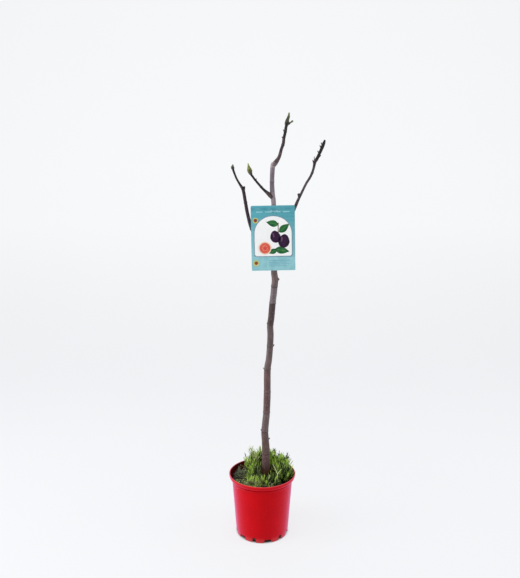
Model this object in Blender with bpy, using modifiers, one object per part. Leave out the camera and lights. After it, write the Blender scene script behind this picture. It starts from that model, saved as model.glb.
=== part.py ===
"""A young fig tree in a red nursery pot, with weeds on its soil and a picture card on its trunk.

Metres, +Z up, standing on the ground at z = 0. Shapes are placed from the pot's axis, which
stands beside the origin, so that the origin is under the middle of the whole plant.
"""
import math
import random

import bmesh
import bpy
from mathutils import Matrix, Vector, noise

# Driving dimensions of the whole
POT_AXIS_X = -0.03861
GAP = 0.0003
SEGMENTS = 40
WELD = 1e-6
TURN_MERGE = 1e-5
TINY = 1e-9

# Pot
RIM_RADIUS = 0.0950
POT_HEIGHT = 0.1755
WALL_TOP_RADIUS = 0.0862
WALL_FOOT_RADIUS = 0.0745
WALL = 0.0016
COLLAR_HEIGHT = 0.0110
COLLAR_FOOT = 0.0180
COLLAR_TAPER = 0.0022
COLLAR_STEP = (0.0033, 0.0035)
COLLAR_BEND = (0.25, 0.60)
COLLAR_INNER = 0.80
LIP = 0.0034
LIP_ROUND = 0.15
LIP_INNER_ROUND = 0.10
FOOT_TAPER = 0.0006
FLOOR_UNDERSIDE = 0.0045
FLOOR = 0.0018
NOTCHES = 12
NOTCH_TURN = math.radians(12.0)
NARROW_NOTCH = (0.0120, 0.0145)
WIDE_NOTCH = (0.0230, 0.0100)
NOTCH_DEPTH = 0.0200
NOTCH_TAPER = 0.80
NOTCH_ROUND = 0.22
ABOVE_NOTCHES = 0.0200
DRAIN_HOLES = 6
DRAIN_HOLE_RADIUS = 0.0050
DRAIN_CIRCLE = 0.0450
DRAIN_CUT = 0.0120
DRAIN_SIDES = 10

# Soil
SOIL_TOP = 0.1565
SOIL_CRUMB = 0.0016
SOIL_CRUMB_GRAIN = 0.0105
SOIL_MOUND = (0.0025, 0.0350)
SOIL_RINGS = 5
SOIL_RING_POWER = 0.85
SOIL_EDGE = 0.0040
SOIL_SEED = 3.1
TRUNK_FOOT = 0.0905
TRUNK_CLEARANCE = 0.0005
TRUNK_HOLE_SIDES = 24
TRUNK_HOLE_RISE = 0.0160

# Woody stems: centre line points from the pot's axis with the stem's radius at each
TRUNK = (
    (0.0120, 0.0070, TRUNK_FOOT, 0.0122),
    (0.0115, 0.0065, 0.1595, 0.0122),
    (0.0105, 0.0060, 0.2035, 0.0117),
    (0.0105, 0.0060, 0.2395, 0.0112),
    (0.0092, 0.0050, 0.2665, 0.0104),
    (0.0074, 0.0040, 0.2945, 0.0101),
    (0.0100, 0.0040, 0.3275, 0.0098),
    (0.0120, 0.0030, 0.3495, 0.0098),
    (0.0140, 0.0010, 0.4075, 0.0098),
    (0.0145, -0.0010, 0.4785, 0.0095),
    (0.0185, -0.0010, 0.5075, 0.0090),
    (0.0215, 0.0000, 0.5445, 0.0088),
    (0.0230, 0.0010, 0.5755, 0.0088),
    (0.0220, 0.0020, 0.6045, 0.0089),
    (0.0250, 0.0010, 0.6285, 0.0089),
    (0.0280, 0.0000, 0.6655, 0.0090),
    (0.0310, -0.0010, 0.6905, 0.0089),
    (0.0328, -0.0010, 0.7105, 0.0089),
    (0.0348, 0.0000, 0.7325, 0.0092),
    (0.0322, 0.0010, 0.7575, 0.0086),
    (0.0330, 0.0010, 0.7945, 0.0082),
    (0.0325, 0.0005, 0.8545, 0.0072),
    (0.0308, 0.0000, 0.9345, 0.0063),
    (0.0275, -0.0020, 0.9645, 0.0064),
    (0.0260, -0.0020, 0.9865, 0.0062),
    (0.0260, -0.0010, 1.0075, 0.0061),
    (0.0270, 0.0000, 1.0295, 0.0063),
    (0.0280, 0.0000, 1.0415, 0.0063),
    (0.0296, -0.0002, 1.0475, 0.0046),
    (0.0304, -0.0004, 1.0495, 0.0016),
)
LEADER = (
    (0.0285, 0.0000, 1.0405, 0.0052),
    (0.0370, -0.0020, 1.0505, 0.0051),
    (0.0450, -0.0040, 1.0635, 0.0045),
    (0.0500, -0.0050, 1.0815, 0.0042),
    (0.0550, -0.0070, 1.0965, 0.0042),
    (0.0568, -0.0090, 1.1105, 0.0040),
    (0.0600, -0.0105, 1.1255, 0.0040),
    (0.0620, -0.0120, 1.1385, 0.0039),
    (0.0636, -0.0128, 1.1445, 0.0040),
)
LEFT_BRANCH = (
    (0.0320, 0.0020, 0.7815, 0.0056),
    (0.0180, 0.0050, 0.8005, 0.0052),
    (-0.0060, 0.0090, 0.8295, 0.0050),
    (-0.0290, 0.0120, 0.8715, 0.0049),
    (-0.0400, 0.0160, 0.9115, 0.0048),
    (-0.0462, 0.0190, 0.9445, 0.0046),
    (-0.0522, 0.0220, 0.9765, 0.0045),
    (-0.0622, 0.0230, 0.9935, 0.0031),
    (-0.0712, 0.0240, 1.0095, 0.0028),
    (-0.0788, 0.0260, 1.0295, 0.0031),
    (-0.0803, 0.0260, 1.0345, 0.0033),
)
RIGHT_BRANCH = (
    (0.0330, 0.0010, 0.8075, 0.0056),
    (0.0460, 0.0050, 0.8385, 0.0051),
    (0.0680, 0.0100, 0.8825, 0.0046),
    (0.0900, 0.0160, 0.9325, 0.0043),
    (0.0968, 0.0180, 0.9485, 0.0039),
    (0.1052, 0.0200, 0.9655, 0.0035),
    (0.1120, 0.0220, 0.9795, 0.0033),
    (0.1203, 0.0250, 0.9955, 0.0033),
    (0.1320, 0.0280, 1.0145, 0.0035),
    (0.1393, 0.0310, 1.0335, 0.0034),
    (0.1436, 0.0340, 1.0525, 0.0043),
    (0.1482, 0.0350, 1.0595, 0.0045),
    (0.1556, 0.0370, 1.0745, 0.0041),
    (0.1640, 0.0400, 1.0935, 0.0046),
    (0.1682, 0.0415, 1.1045, 0.0041),
    (0.1706, 0.0420, 1.1120, 0.0018),
)
SIDE_SHOOT = (
    (0.0270, -0.0015, 0.9575, 0.0054),
    (0.0200, -0.0040, 0.9630, 0.0048),
    (0.0060, -0.0090, 0.9745, 0.0037),
    (-0.0030, -0.0130, 0.9835, 0.0033),
    (-0.0165, -0.0190, 0.9985, 0.0030),
    (-0.0275, -0.0240, 1.0125, 0.0030),
    (-0.0303, -0.0262, 1.0170, 0.0033),
)

# Ring-shaped leaf scars: height along the stem, how far the ring stands out
TRUNK_RINGS = (
    (0.2275, 0.0008), (0.2945, 0.0007), (0.3495, 0.0008), (0.4095, 0.0005), (0.4765, 0.0009),
    (0.5425, 0.0007), (0.6045, 0.0009), (0.6635, 0.0010), (0.7105, 0.0009), (0.9145, 0.0006),
    (0.9975, 0.0005),
)
LEADER_RINGS = ((1.0930, 0.0007), (1.1265, 0.0007))
LEFT_RINGS = ((0.8725, 0.0005), (0.9425, 0.0007))
RIGHT_RINGS = ((0.8945, 0.0005), (1.0215, 0.0006))
SHOOT_RINGS = ((0.9835, 0.0004),)
RING_WIDTH = 0.0026
TWIG_RING_WIDTH = 0.0016
RING_SLOPE = 0.60
RING_ROOM = 0.02
LEAST_STEP = 0.22

# Buds, scars and stubs that stand on the stems: height, compass angle (0 is +X, 90 is the back),
# rise above level, length from the centre line, foot radius, end radius
TRUNK_STUBS = (
    (0.2680, 5, 25, 0.0143, 0.0048, 0.0018),
    (0.2960, 195, 25, 0.0136, 0.0044, 0.0018),
    (0.3505, 75, 25, 0.0130, 0.0044, 0.0018),
    (0.4105, 330, 25, 0.0126, 0.0040, 0.0016),
    (0.4770, 178, 25, 0.0130, 0.0048, 0.0022),
    (0.5420, 0, 34, 0.0148, 0.0048, 0.0020),
    (0.6050, 150, 25, 0.0120, 0.0042, 0.0017),
    (0.6645, 20, 25, 0.0120, 0.0044, 0.0018),
    (0.7110, 250, 28, 0.0116, 0.0040, 0.0016),
    (0.7300, 355, 25, 0.0116, 0.0060, 0.0038),
    (0.8745, 100, 45, 0.0102, 0.0032, 0.0011),
    (0.9995, 60, 45, 0.0096, 0.0030, 0.0010),
)
LEADER_STUBS = (
    (1.0605, 335, 40, 0.0084, 0.0027, 0.0010),
    (1.0905, 345, 45, 0.0090, 0.0027, 0.0010),
    (1.1085, 195, 45, 0.0082, 0.0025, 0.0009),
    (1.1250, 200, 45, 0.0088, 0.0025, 0.0010),
    (1.1325, 90, 45, 0.0074, 0.0023, 0.0009),
)
LEFT_STUBS = (
    (0.9075, 80, 50, 0.0086, 0.0026, 0.0010),
    (0.9720, 62, 72, 0.0132, 0.0038, 0.0027),
    (1.0105, 200, 50, 0.0058, 0.0018, 0.0009),
)
RIGHT_STUBS = (
    (0.9585, 175, 62, 0.0116, 0.0038, 0.0028),
    (1.0185, 350, 40, 0.0084, 0.0026, 0.0011),
    (1.0465, 165, 62, 0.0114, 0.0034, 0.0018),
    (1.0625, 5, 35, 0.0124, 0.0032, 0.0010),
    (1.0745, 170, 55, 0.0092, 0.0026, 0.0010),
    (1.0875, 165, 60, 0.0106, 0.0029, 0.0010),
    (1.0955, 160, 62, 0.0106, 0.0026, 0.0010),
)
SHOOT_STUBS = (
    (1.0005, 30, 50, 0.0062, 0.0018, 0.0009),
)
SPIKE = ((0.1425, 0.0340, 1.0545), (0.1412, 0.0338, 1.0675))
SPIKE_RADII = (0.0014, 0.0006)
STUB_SIDES = 6

# name, centre line, rings, stubs, step between cross sections, ring width, bevel resolution
STEMS = (
    ("trunk", TRUNK, TRUNK_RINGS, TRUNK_STUBS, 0.022, RING_WIDTH, 3),
    ("leader", LEADER, LEADER_RINGS, LEADER_STUBS, 0.014, TWIG_RING_WIDTH, 2),
    ("left_branch", LEFT_BRANCH, LEFT_RINGS, LEFT_STUBS, 0.020, TWIG_RING_WIDTH, 2),
    ("right_branch", RIGHT_BRANCH, RIGHT_RINGS, RIGHT_STUBS, 0.018, TWIG_RING_WIDTH, 2),
    ("side_shoot", SIDE_SHOOT, SHOOT_RINGS, SHOOT_STUBS, 0.012, TWIG_RING_WIDTH, 2),
)

# Green buds: centre line points with radii, the first point on the twig's end
LEADER_BUD = (
    (0.0637, -0.0130, 1.1455, 0.0040),
    (0.0642, -0.0130, 1.1492, 0.0048),
    (0.0650, -0.0130, 1.1535, 0.0045),
    (0.0668, -0.0131, 1.1600, 0.0036),
    (0.0683, -0.0132, 1.1640, 0.0038),
    (0.0692, -0.0132, 1.1690, 0.0031),
    (0.0700, -0.0132, 1.1755, 0.0014),
)
LEADER_SIDE_BUD = (
    (0.0655, -0.0131, 1.1475, 0.0022),
    (0.0700, -0.0134, 1.1480, 0.0029),
    (0.0735, -0.0136, 1.1500, 0.0015),
    (0.0755, -0.0137, 1.1513, 0.0017),
    (0.0780, -0.0139, 1.1530, 0.0026),
    (0.0806, -0.0140, 1.1549, 0.0010),
)
SHOOT_BUD = (
    (-0.0309, -0.0267, 1.0182, 0.0034),
    (-0.0328, -0.0278, 1.0230, 0.0052),
    (-0.0342, -0.0285, 1.0285, 0.0055),
    (-0.0362, -0.0291, 1.0360, 0.0034),
    (-0.0378, -0.0295, 1.0445, 0.0008),
)
SHOOT_SIDE_SCALE = (
    (-0.0315, -0.0270, 1.0195, 0.0030),
    (-0.0296, -0.0272, 1.0235, 0.0026),
    (-0.0283, -0.0274, 1.0280, 0.0008),
)
LEFT_BUD = (
    (-0.0805, 0.0260, 1.0356, 0.0036),
    (-0.0808, 0.0260, 1.0385, 0.0039),
    (-0.0803, 0.0260, 1.0420, 0.0028),
    (-0.0798, 0.0260, 1.0455, 0.0011),
)
BUD_STEP = 0.0050
BUDS = (
    ("leader_bud", (LEADER_BUD, LEADER_SIDE_BUD), "bud_green"),
    ("shoot_bud", (SHOOT_BUD, SHOOT_SIDE_SCALE), "bud_green"),
    ("left_bud", (LEFT_BUD,), "bud_grey"),
)

# Card and its tie
LABEL_CENTRE = (0.0292, 0.8474)
LABEL_SIZE = (0.1185, 0.1750)
LABEL_THICKNESS = 0.0008
LABEL_ROLL = math.radians(1.1)
LABEL_CORNER = 0.0035
LABEL_BACK_Y = -0.0098
TIE_HEIGHT = 0.9195
TIE_BAND = (0.0008, 0.0024)
TIE_INNER_RADIUS = 0.0070
TIE_SLIT = (0.0018, 0.0044)
TIE_HEAD = (0.0044, 0.0030, 0.0040)
TIE_CORNER = 0.0005
TIE_STEPS = 12
SLIT_CUT = 0.0100

# Weeds: one tuft for each cell round the trunk
WEED_CENTRE = (0.0110, 0.0060)
ROOT_RADIUS = 0.0024
ROOT_DEPTH = 0.0090
ROOT_SIDES = 8
CROWN_LIFT = 0.0004
CROWN_ROUGHNESS = 0.20
CROWN_GRAIN = 2.3
CROWN_SHARE = 0.58
CROWN_SHIFT = 40.0
CROWN_FLOOR = 0.02
CROWN_MIDDLE = 0.50
NEEDLE_LENGTH = (0.0050, 0.0125)
NEEDLE_RISE = 0.25
NEEDLE_SHORTEN = 0.90
CORE_ROOM = 0.94
STEM_RADII = (0.0011, 0.0009)
LEAF_WIDTH = 0.0017
LEAF_THICKNESS = 0.0009
LEAF_LENGTH = (0.0110, 0.0180)
LEAF_RISE = (math.radians(5.0), math.radians(30.0))
LEAF_STRETCH = (0.50, 0.98)
LEAF_SPACING = 2.0
LEAF_LIFT = math.pi / 4
STEM_TURN = 0.30
STEM_FOOT_SPREAD = 0.60
STEM_FOOT_DROP = 0.70
STEM_TIP_SPREAD = (1.00, 1.35)
STEM_HEIGHT = (0.80, 1.04)
STEM_DROP = 0.42
STEM_BEND = 1.5
STEM_MIDDLE = 0.55
GOLDEN_ANGLE = math.pi * (3.0 - math.sqrt(5.0))
CELL_MARGIN = 0.0011
CELL_SHRINK = 0.96
OVER_RIM = 0.0040
WEED_ROOM_BELOW = 0.0825
WEED_ROOM_ABOVE = 0.0910

# name, centre, half length and half width of the crown, turn, height of the foliage over the
# soil, stems, leaves on each stem, seed
TUFTS = (
    ("weeds_back", (0.014, 0.052), (0.031, 0.027), 0, 0.058, 6, 3, 11),
    ("weeds_back_left", (-0.025, 0.037), (0.027, 0.023), -50, 0.066, 6, 3, 12),
    ("weeds_back_right", (0.052, 0.034), (0.028, 0.026), 50, 0.048, 6, 3, 13),
    ("weeds_left", (-0.026, -0.006), (0.024, 0.019), 80, 0.044, 4, 3, 14),
    ("weeds_right", (0.061, -0.010), (0.026, 0.024), 90, 0.044, 4, 3, 15),
    ("weeds_front_left", (-0.023, -0.047), (0.026, 0.023), 20, 0.032, 3, 3, 21),
    ("weeds_front", (0.018, -0.045), (0.025, 0.024), 0, 0.033, 3, 3, 17),
    ("weeds_far_left", (-0.062, -0.030), (0.013, 0.018), 20, 0.018, 2, 3, 18),
)
DRY_STEM_RADIUS = 0.0012
DRY_STEM_DEPTH = 0.0080
# name, foot, then the arms as centre line points from the foot with radii
DRY_STEMS = (
    ("dry_stem_right", (0.0435, -0.0440),
     (((0.0, 0.0, -DRY_STEM_DEPTH, DRY_STEM_RADIUS), (0.0, 0.0, 0.012, DRY_STEM_RADIUS),
       (-0.001, 0.002, 0.035, 0.0011)),
      ((-0.001, 0.002, 0.033, 0.0011), (-0.007, 0.003, 0.047, 0.0010), (-0.014, 0.004, 0.061, 0.0006)),
      ((-0.001, 0.002, 0.033, 0.0011), (0.004, 0.001, 0.040, 0.0010), (0.010, -0.001, 0.048, 0.0006)))),
    ("dry_stem_left", (-0.0660, 0.0070),
     (((0.0, 0.0, -DRY_STEM_DEPTH, DRY_STEM_RADIUS), (0.0, 0.0, 0.004, DRY_STEM_RADIUS),
       (-0.002, 0.003, 0.014, 0.0011)),
      ((-0.002, 0.003, 0.013, 0.0011), (-0.001, 0.008, 0.020, 0.0010), (-0.002, 0.014, 0.023, 0.0006)),
      ((-0.002, 0.003, 0.013, 0.0011), (-0.005, 0.001, 0.020, 0.0010), (-0.007, -0.005, 0.024, 0.0006)))),
)

COLOURS = {
    "pot_red": ((0.47, 0.004, 0.006), 0.30),
    "soil_dark": ((0.028, 0.020, 0.015), 0.95),
    "bark": ((0.150, 0.115, 0.118), 0.75),
    "bud_green": ((0.120, 0.190, 0.035), 0.50),
    "bud_grey": ((0.060, 0.080, 0.050), 0.60),
    "label_card": ((0.130, 0.420, 0.470), 0.30),
    "tie_clear": ((0.700, 0.780, 0.780), 0.35),
    "weed_green": ((0.120, 0.260, 0.035), 0.60),
    "straw": ((0.560, 0.560, 0.280), 0.70),
}


def clear_scene():
    """Take every object out of the open file."""
    for old in list(bpy.data.objects):
        bpy.data.objects.remove(old, do_unlink=True)


def make_collection(name):
    """A collection in the scene."""
    group = bpy.data.collections.new(name)
    bpy.context.scene.collection.children.link(group)
    return group


def make_material(name):
    """A Principled material with the piece's colour and roughness."""
    colour, roughness = COLOURS[name]
    material = bpy.data.materials.new(name)
    material.use_nodes = True
    shader = material.node_tree.nodes["Principled BSDF"]
    shader.inputs["Base Color"].default_value = (*colour, 1.0)
    shader.inputs["Roughness"].default_value = roughness
    shader.inputs["Metallic"].default_value = 0.0
    return material


def add_object(name, data, group, origin=None, material=None):
    """A named object in a collection, standing from the pot's axis."""
    made = bpy.data.objects.new(name, data)
    group.objects.link(made)
    if origin is not None:
        made.parent = origin
    if material is not None:
        data.materials.clear()
        data.materials.append(material)
    return made


def helper_object(name, mesh, helpers):
    """A piece to be cut or joined later."""
    made = bpy.data.objects.new(name, mesh)
    helpers.objects.link(made)
    return made


def from_shape(name, shape, helpers):
    """A helper object from a bmesh, which is freed."""
    mesh = bpy.data.meshes.new(name)
    shape.to_mesh(mesh)
    shape.free()
    return helper_object(name, mesh, helpers)


def drop(thing):
    """Remove a helper object."""
    bpy.data.objects.remove(thing, do_unlink=True)


def evaluated_mesh(thing):
    """The object's mesh with its modifiers applied and its doubles welded."""
    bpy.context.view_layer.update()
    graph = bpy.context.evaluated_depsgraph_get()
    mesh = bpy.data.meshes.new_from_object(thing.evaluated_get(graph))
    shape = bmesh.new()
    shape.from_mesh(mesh)
    bmesh.ops.remove_doubles(shape, verts=shape.verts, dist=WELD)
    bmesh.ops.recalc_face_normals(shape, faces=shape.faces)
    shape.to_mesh(mesh)
    shape.free()
    return mesh


def unite(name, pieces, helpers, solver="EXACT"):
    """One mesh from overlapping pieces, by one Boolean union on a collection."""
    first = pieces[0]
    for piece in pieces[1:]:
        helpers.objects.unlink(piece)
    operands = bpy.data.collections.new(name + "_operands")
    bpy.context.scene.collection.children.link(operands)
    for piece in pieces[1:]:
        operands.objects.link(piece)
    union = first.modifiers.new("union", "BOOLEAN")
    union.operation = "UNION"
    union.operand_type = "COLLECTION"
    union.collection = operands
    union.solver = solver
    mesh = evaluated_mesh(first)
    mesh.name = name
    for piece in pieces:
        drop(piece)
    bpy.data.collections.remove(operands)
    return mesh


def cut(thing, cutters, name):
    """Take every cutter of a list out of an object."""
    for number, cutter in enumerate(cutters):
        cutter.hide_render = True
        cutter.display_type = "WIRE"
        taken = thing.modifiers.new(f"{name}_{number}", "BOOLEAN")
        taken.operation = "DIFFERENCE"
        taken.object = cutter
        taken.solver = "EXACT"


def smooth_line(points, step, rings=(), ring_width=RING_WIDTH):
    """Points along a smooth curve through the given ones, with rings added to the radius."""
    spots = [Vector(p[:3]) for p in points]
    radii = [p[3] for p in points]
    samples = []
    for index in range(len(spots) - 1):
        before = spots[max(index - 1, 0)]
        start = spots[index]
        end = spots[index + 1]
        after = spots[min(index + 2, len(spots) - 1)]
        count = max(1, round((end - start).length / step))
        marks = {k / count for k in range(count)}
        rise = end.z - start.z
        for height, _ in rings:
            for shift in (-1.0, 0.0, 1.0):
                share = (height + shift * ring_width - start.z) / rise if abs(rise) > TINY else -1.0
                if RING_ROOM < share < 1.0 - RING_ROOM:
                    marks.add(share)
        for mark in thin_out(sorted(marks), LEAST_STEP * step / (end - start).length):
            samples.append(curve_point(before, start, end, after, mark, radii[index], radii[index + 1]))
    samples.append((spots[-1], radii[-1]))
    return [(spot, radius + ring_height(spot.z, rings, ring_width)) for spot, radius in samples]


def thin_out(marks, least):
    """Sorted marks with those that crowd the one before left out."""
    kept = []
    for mark in marks:
        if not kept or mark - kept[-1] >= least:
            kept.append(mark)
    return kept


def curve_point(before, start, end, after, share, radius_a, radius_b):
    """A Catmull-Rom point between start and end, with its radius."""
    square = share * share
    cube = square * share
    spot = 0.5 * (2.0 * start + (end - before) * share
                  + (2.0 * before - 5.0 * start + 4.0 * end - after) * square
                  + (3.0 * start - before - 3.0 * end + after) * cube)
    return spot, radius_a + (radius_b - radius_a) * share


def ring_height(height, rings, ring_width):
    """How far the leaf scars stand out of the stem at a height."""
    return sum(lift * math.exp(-((height - at) / (RING_SLOPE * ring_width)) ** 2) for at, lift in rings)


def tube(name, samples, helpers, resolution=2):
    """A closed tube mesh along samples of (centre, radius)."""
    curve = bpy.data.curves.new(name, "CURVE")
    curve.dimensions = "3D"
    curve.bevel_depth = 1.0
    curve.bevel_resolution = resolution
    curve.use_fill_caps = True
    curve.twist_mode = "MINIMUM"
    line = curve.splines.new("POLY")
    line.points.add(len(samples) - 1)
    for point, (spot, radius) in zip(line.points, samples):
        point.co = (*spot, 1.0)
        point.radius = radius
    guide = helper_object(name + "_line", curve, helpers)
    mesh = evaluated_mesh(guide)
    drop(guide)
    return helper_object(name, mesh, helpers)


def cone(name, start, end, foot_radius, end_radius, sides, helpers):
    """A closed cone or needle between two points."""
    start = Vector(start)
    end = Vector(end)
    reach = end - start
    shape = bmesh.new()
    bmesh.ops.create_cone(shape, cap_ends=True, segments=sides, radius1=foot_radius,
                          radius2=end_radius, depth=reach.length)
    turn = reach.to_track_quat("Z", "Y").to_matrix().to_4x4()
    bmesh.ops.transform(shape, verts=shape.verts, matrix=Matrix.Translation((start + end) / 2) @ turn)
    return from_shape(name, shape, helpers)


def at_height(samples, height):
    """The centre of a stem at a height."""
    for (low, _), (high, _) in zip(samples, samples[1:]):
        if low.z <= height <= high.z:
            return low.lerp(high, (height - low.z) / max(high.z - low.z, TINY))
    return samples[-1][0]


def stubs(name, samples, rows, helpers):
    """Buds, scars and cut stubs on a stem."""
    made = []
    for number, (height, compass, rise, length, foot, end) in enumerate(rows):
        angle = math.radians(compass)
        lift = math.radians(rise)
        way = Vector((math.cos(angle) * math.cos(lift), math.sin(angle) * math.cos(lift), math.sin(lift)))
        centre = at_height(samples, height)
        made.append(cone(f"{name}_{number}", centre, centre + way * length, foot, end, STUB_SIDES, helpers))
    return made


def wall_radius(height):
    """Outer radius of the pot's plain wall at a height."""
    return WALL_FOOT_RADIUS + (WALL_TOP_RADIUS - WALL_FOOT_RADIUS) * height / (POT_HEIGHT - COLLAR_FOOT)


def turned(name, profile, helpers, segments=SEGMENTS):
    """A closed profile turned round the pot's axis."""
    shape = bmesh.new()
    ring = [shape.verts.new((radius, 0.0, height)) for radius, height in profile]
    for one, two in zip(ring, ring[1:] + ring[:1]):
        if one.co.x > TINY or two.co.x > TINY:
            shape.edges.new((one, two))
    made = from_shape(name, shape, helpers)
    screw = made.modifiers.new("turn", "SCREW")
    screw.axis = "Z"
    screw.angle = math.tau
    screw.steps = segments
    screw.render_steps = segments
    screw.use_merge_vertices = True
    screw.merge_threshold = TURN_MERGE
    return made


def pot_profile():
    """Half section of the pot: down the outside, under the floor and up the inside."""
    shoulder = POT_HEIGHT - COLLAR_FOOT
    below = shoulder - COLLAR_STEP[1]
    outside = [
        (RIM_RADIUS - LIP / 2, POT_HEIGHT),
        (RIM_RADIUS - LIP * LIP_ROUND, POT_HEIGHT - LIP * LIP_ROUND),
        (RIM_RADIUS, POT_HEIGHT - LIP / 2),
        (RIM_RADIUS - COLLAR_TAPER * COLLAR_BEND[0], POT_HEIGHT - COLLAR_HEIGHT * COLLAR_BEND[1]),
        (RIM_RADIUS - COLLAR_TAPER, POT_HEIGHT - COLLAR_HEIGHT),
        (RIM_RADIUS - COLLAR_TAPER - COLLAR_STEP[0], POT_HEIGHT - COLLAR_HEIGHT - COLLAR_STEP[1]),
        (WALL_TOP_RADIUS + WALL / 2, shoulder + WALL / 2),
        (wall_radius(below), below),
        (wall_radius(ABOVE_NOTCHES), ABOVE_NOTCHES),
        (WALL_FOOT_RADIUS - FOOT_TAPER, 0.0),
    ]
    floor_top = FLOOR_UNDERSIDE + FLOOR
    inside = [
        (WALL_FOOT_RADIUS - WALL - 2.0 * FOOT_TAPER, 0.0),
        (WALL_FOOT_RADIUS - WALL - FOOT_TAPER, FLOOR_UNDERSIDE),
        (0.0, FLOOR_UNDERSIDE),
        (0.0, floor_top),
        (wall_radius(floor_top) - WALL, floor_top),
        (wall_radius(below) - WALL, below),
        (WALL_TOP_RADIUS - WALL / 4, shoulder + WALL),
        (RIM_RADIUS - LIP - WALL, POT_HEIGHT - COLLAR_HEIGHT * COLLAR_INNER),
        (RIM_RADIUS - LIP, POT_HEIGHT - LIP / 2),
        (RIM_RADIUS - LIP * (1.0 - LIP_ROUND), POT_HEIGHT - LIP * LIP_INNER_ROUND),
    ]
    return outside + inside


def notch_cutter(name, angle, width, height, helpers):
    """A box with sloping sides that opens the foot's edge."""
    shape = bmesh.new()
    bmesh.ops.create_cube(shape, size=1.0)
    bmesh.ops.scale(shape, verts=shape.verts, vec=(NOTCH_DEPTH, width, 2.0 * height))
    for vertex in shape.verts:
        if vertex.co.z > 0.0:
            vertex.co.y *= NOTCH_TAPER
    upper = [edge for edge in shape.edges
             if all(v.co.z > 0.0 for v in edge.verts)
             and abs(edge.verts[0].co.y - edge.verts[1].co.y) < WELD]
    bmesh.ops.bevel(shape, geom=upper, offset=NOTCH_ROUND * height, offset_type="OFFSET", segments=1,
                    profile=0.5, affect="EDGES", material=-1)
    turn = Matrix.Rotation(angle, 4, "Z") @ Matrix.Translation((WALL_FOOT_RADIUS, 0.0, 0.0))
    bmesh.ops.transform(shape, verts=shape.verts, matrix=turn)
    return from_shape(name, shape, helpers)


def make_pot(parts, helpers, origin):
    """The red pot with its flared rim, notched foot and drained floor."""
    body = turned("pot_body", pot_profile(), helpers)
    cutters = []
    for number in range(NOTCHES):
        angle = NOTCH_TURN - math.pi / 2 + number * math.tau / NOTCHES
        width, height = WIDE_NOTCH if number % 2 == 0 else NARROW_NOTCH
        cutters.append(notch_cutter(f"notch_{number}", angle, width, height, helpers))
    for number in range(DRAIN_HOLES):
        angle = number * math.tau / DRAIN_HOLES
        spot = Vector((DRAIN_CIRCLE * math.cos(angle), DRAIN_CIRCLE * math.sin(angle), 0.0))
        cutters.append(cone(f"drain_{number}", spot, spot + Vector((0.0, 0.0, DRAIN_CUT)),
                            DRAIN_HOLE_RADIUS, DRAIN_HOLE_RADIUS, DRAIN_SIDES, helpers))
    cut(body, cutters, "open")
    mesh = evaluated_mesh(body)
    mesh.name = "pot"
    for helper in [body] + cutters:
        drop(helper)
    return add_object("pot", mesh, parts, origin, make_material("pot_red"))


def soil_level(x, y):
    """Height of the crumbly soil surface."""
    crumb = noise.noise(Vector((x / SOIL_CRUMB_GRAIN, y / SOIL_CRUMB_GRAIN, SOIL_SEED)))
    away = math.dist((x, y), WEED_CENTRE)
    lift, reach = SOIL_MOUND
    return SOIL_TOP + lift * math.exp(-(away / reach) ** 2) + SOIL_CRUMB * crumb


def make_soil(parts, helpers, origin, roots):
    """Potting soil that fills the pot, with holes for the trunk and the weeds' roots."""
    low = FLOOR_UNDERSIDE + FLOOR + GAP
    edge = SOIL_TOP - SOIL_EDGE
    room = WALL + 2.0 * GAP
    profile = [(0.0, SOIL_TOP)]
    for ring in range(1, SOIL_RINGS):
        profile.append(((wall_radius(SOIL_TOP) - room) * (ring / SOIL_RINGS) ** SOIL_RING_POWER, SOIL_TOP))
    profile.append((wall_radius(edge) - room, edge))
    profile.append((wall_radius(low) - room, low))
    profile.append((0.0, low))
    body = turned("soil_body", profile, helpers)
    mesh = evaluated_mesh(body)
    drop(body)
    for vertex in mesh.vertices:
        if vertex.co.z > SOIL_TOP - TURN_MERGE:
            vertex.co.z = soil_level(vertex.co.x, vertex.co.y)
    filled = helper_object("soil_filled", mesh, helpers)
    foot = Vector(TRUNK[0][:3])
    mouth = Vector(TRUNK[1][:3])
    way = (mouth - foot).normalized()
    width = TRUNK[0][3] + TRUNK_CLEARANCE
    holes = [cone("trunk_hole", foot - way * GAP, mouth + way * TRUNK_HOLE_RISE, width, width,
                  TRUNK_HOLE_SIDES, helpers)]
    for number, ((x, y), radius, depth) in enumerate(roots):
        spot = Vector((x, y, SOIL_TOP - depth - GAP))
        holes.append(cone(f"root_hole_{number}", spot, spot + Vector((0.0, 0.0, 2.0 * depth)),
                          radius + GAP, radius + GAP, ROOT_SIDES, helpers))
    cut(filled, holes, "hole")
    mesh = evaluated_mesh(filled)
    mesh.name = "soil"
    for helper in [filled] + holes:
        drop(helper)
    return add_object("soil", mesh, parts, origin, make_material("soil_dark"))


def make_tree(parts, helpers, origin):
    """Trunk, leader, branches and side shoot in one piece."""
    pieces = []
    for name, line, rings, rows, step, ring_width, resolution in STEMS:
        samples = smooth_line(line, step, rings, ring_width)
        pieces.append(tube(name, samples, helpers, resolution))
        pieces += stubs(name + "_stub", samples, rows, helpers)
    pieces.append(cone("spike", *SPIKE, *SPIKE_RADII, STUB_SIDES, helpers))
    mesh = unite("tree", pieces, helpers)
    return add_object("tree", mesh, parts, origin, make_material("bark"))


def make_buds(parts, helpers, origin):
    """The green and grey-green buds on the twigs' ends."""
    for name, lines, finish in BUDS:
        pieces = [tube(f"{name}_{number}", smooth_line(line, BUD_STEP), helpers)
                  for number, line in enumerate(lines)]
        if len(pieces) > 1:
            mesh = unite(name, pieces, helpers)
        else:
            mesh = evaluated_mesh(pieces[0])
            drop(pieces[0])
        add_object(name, mesh, parts, origin, make_material(finish))


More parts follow.
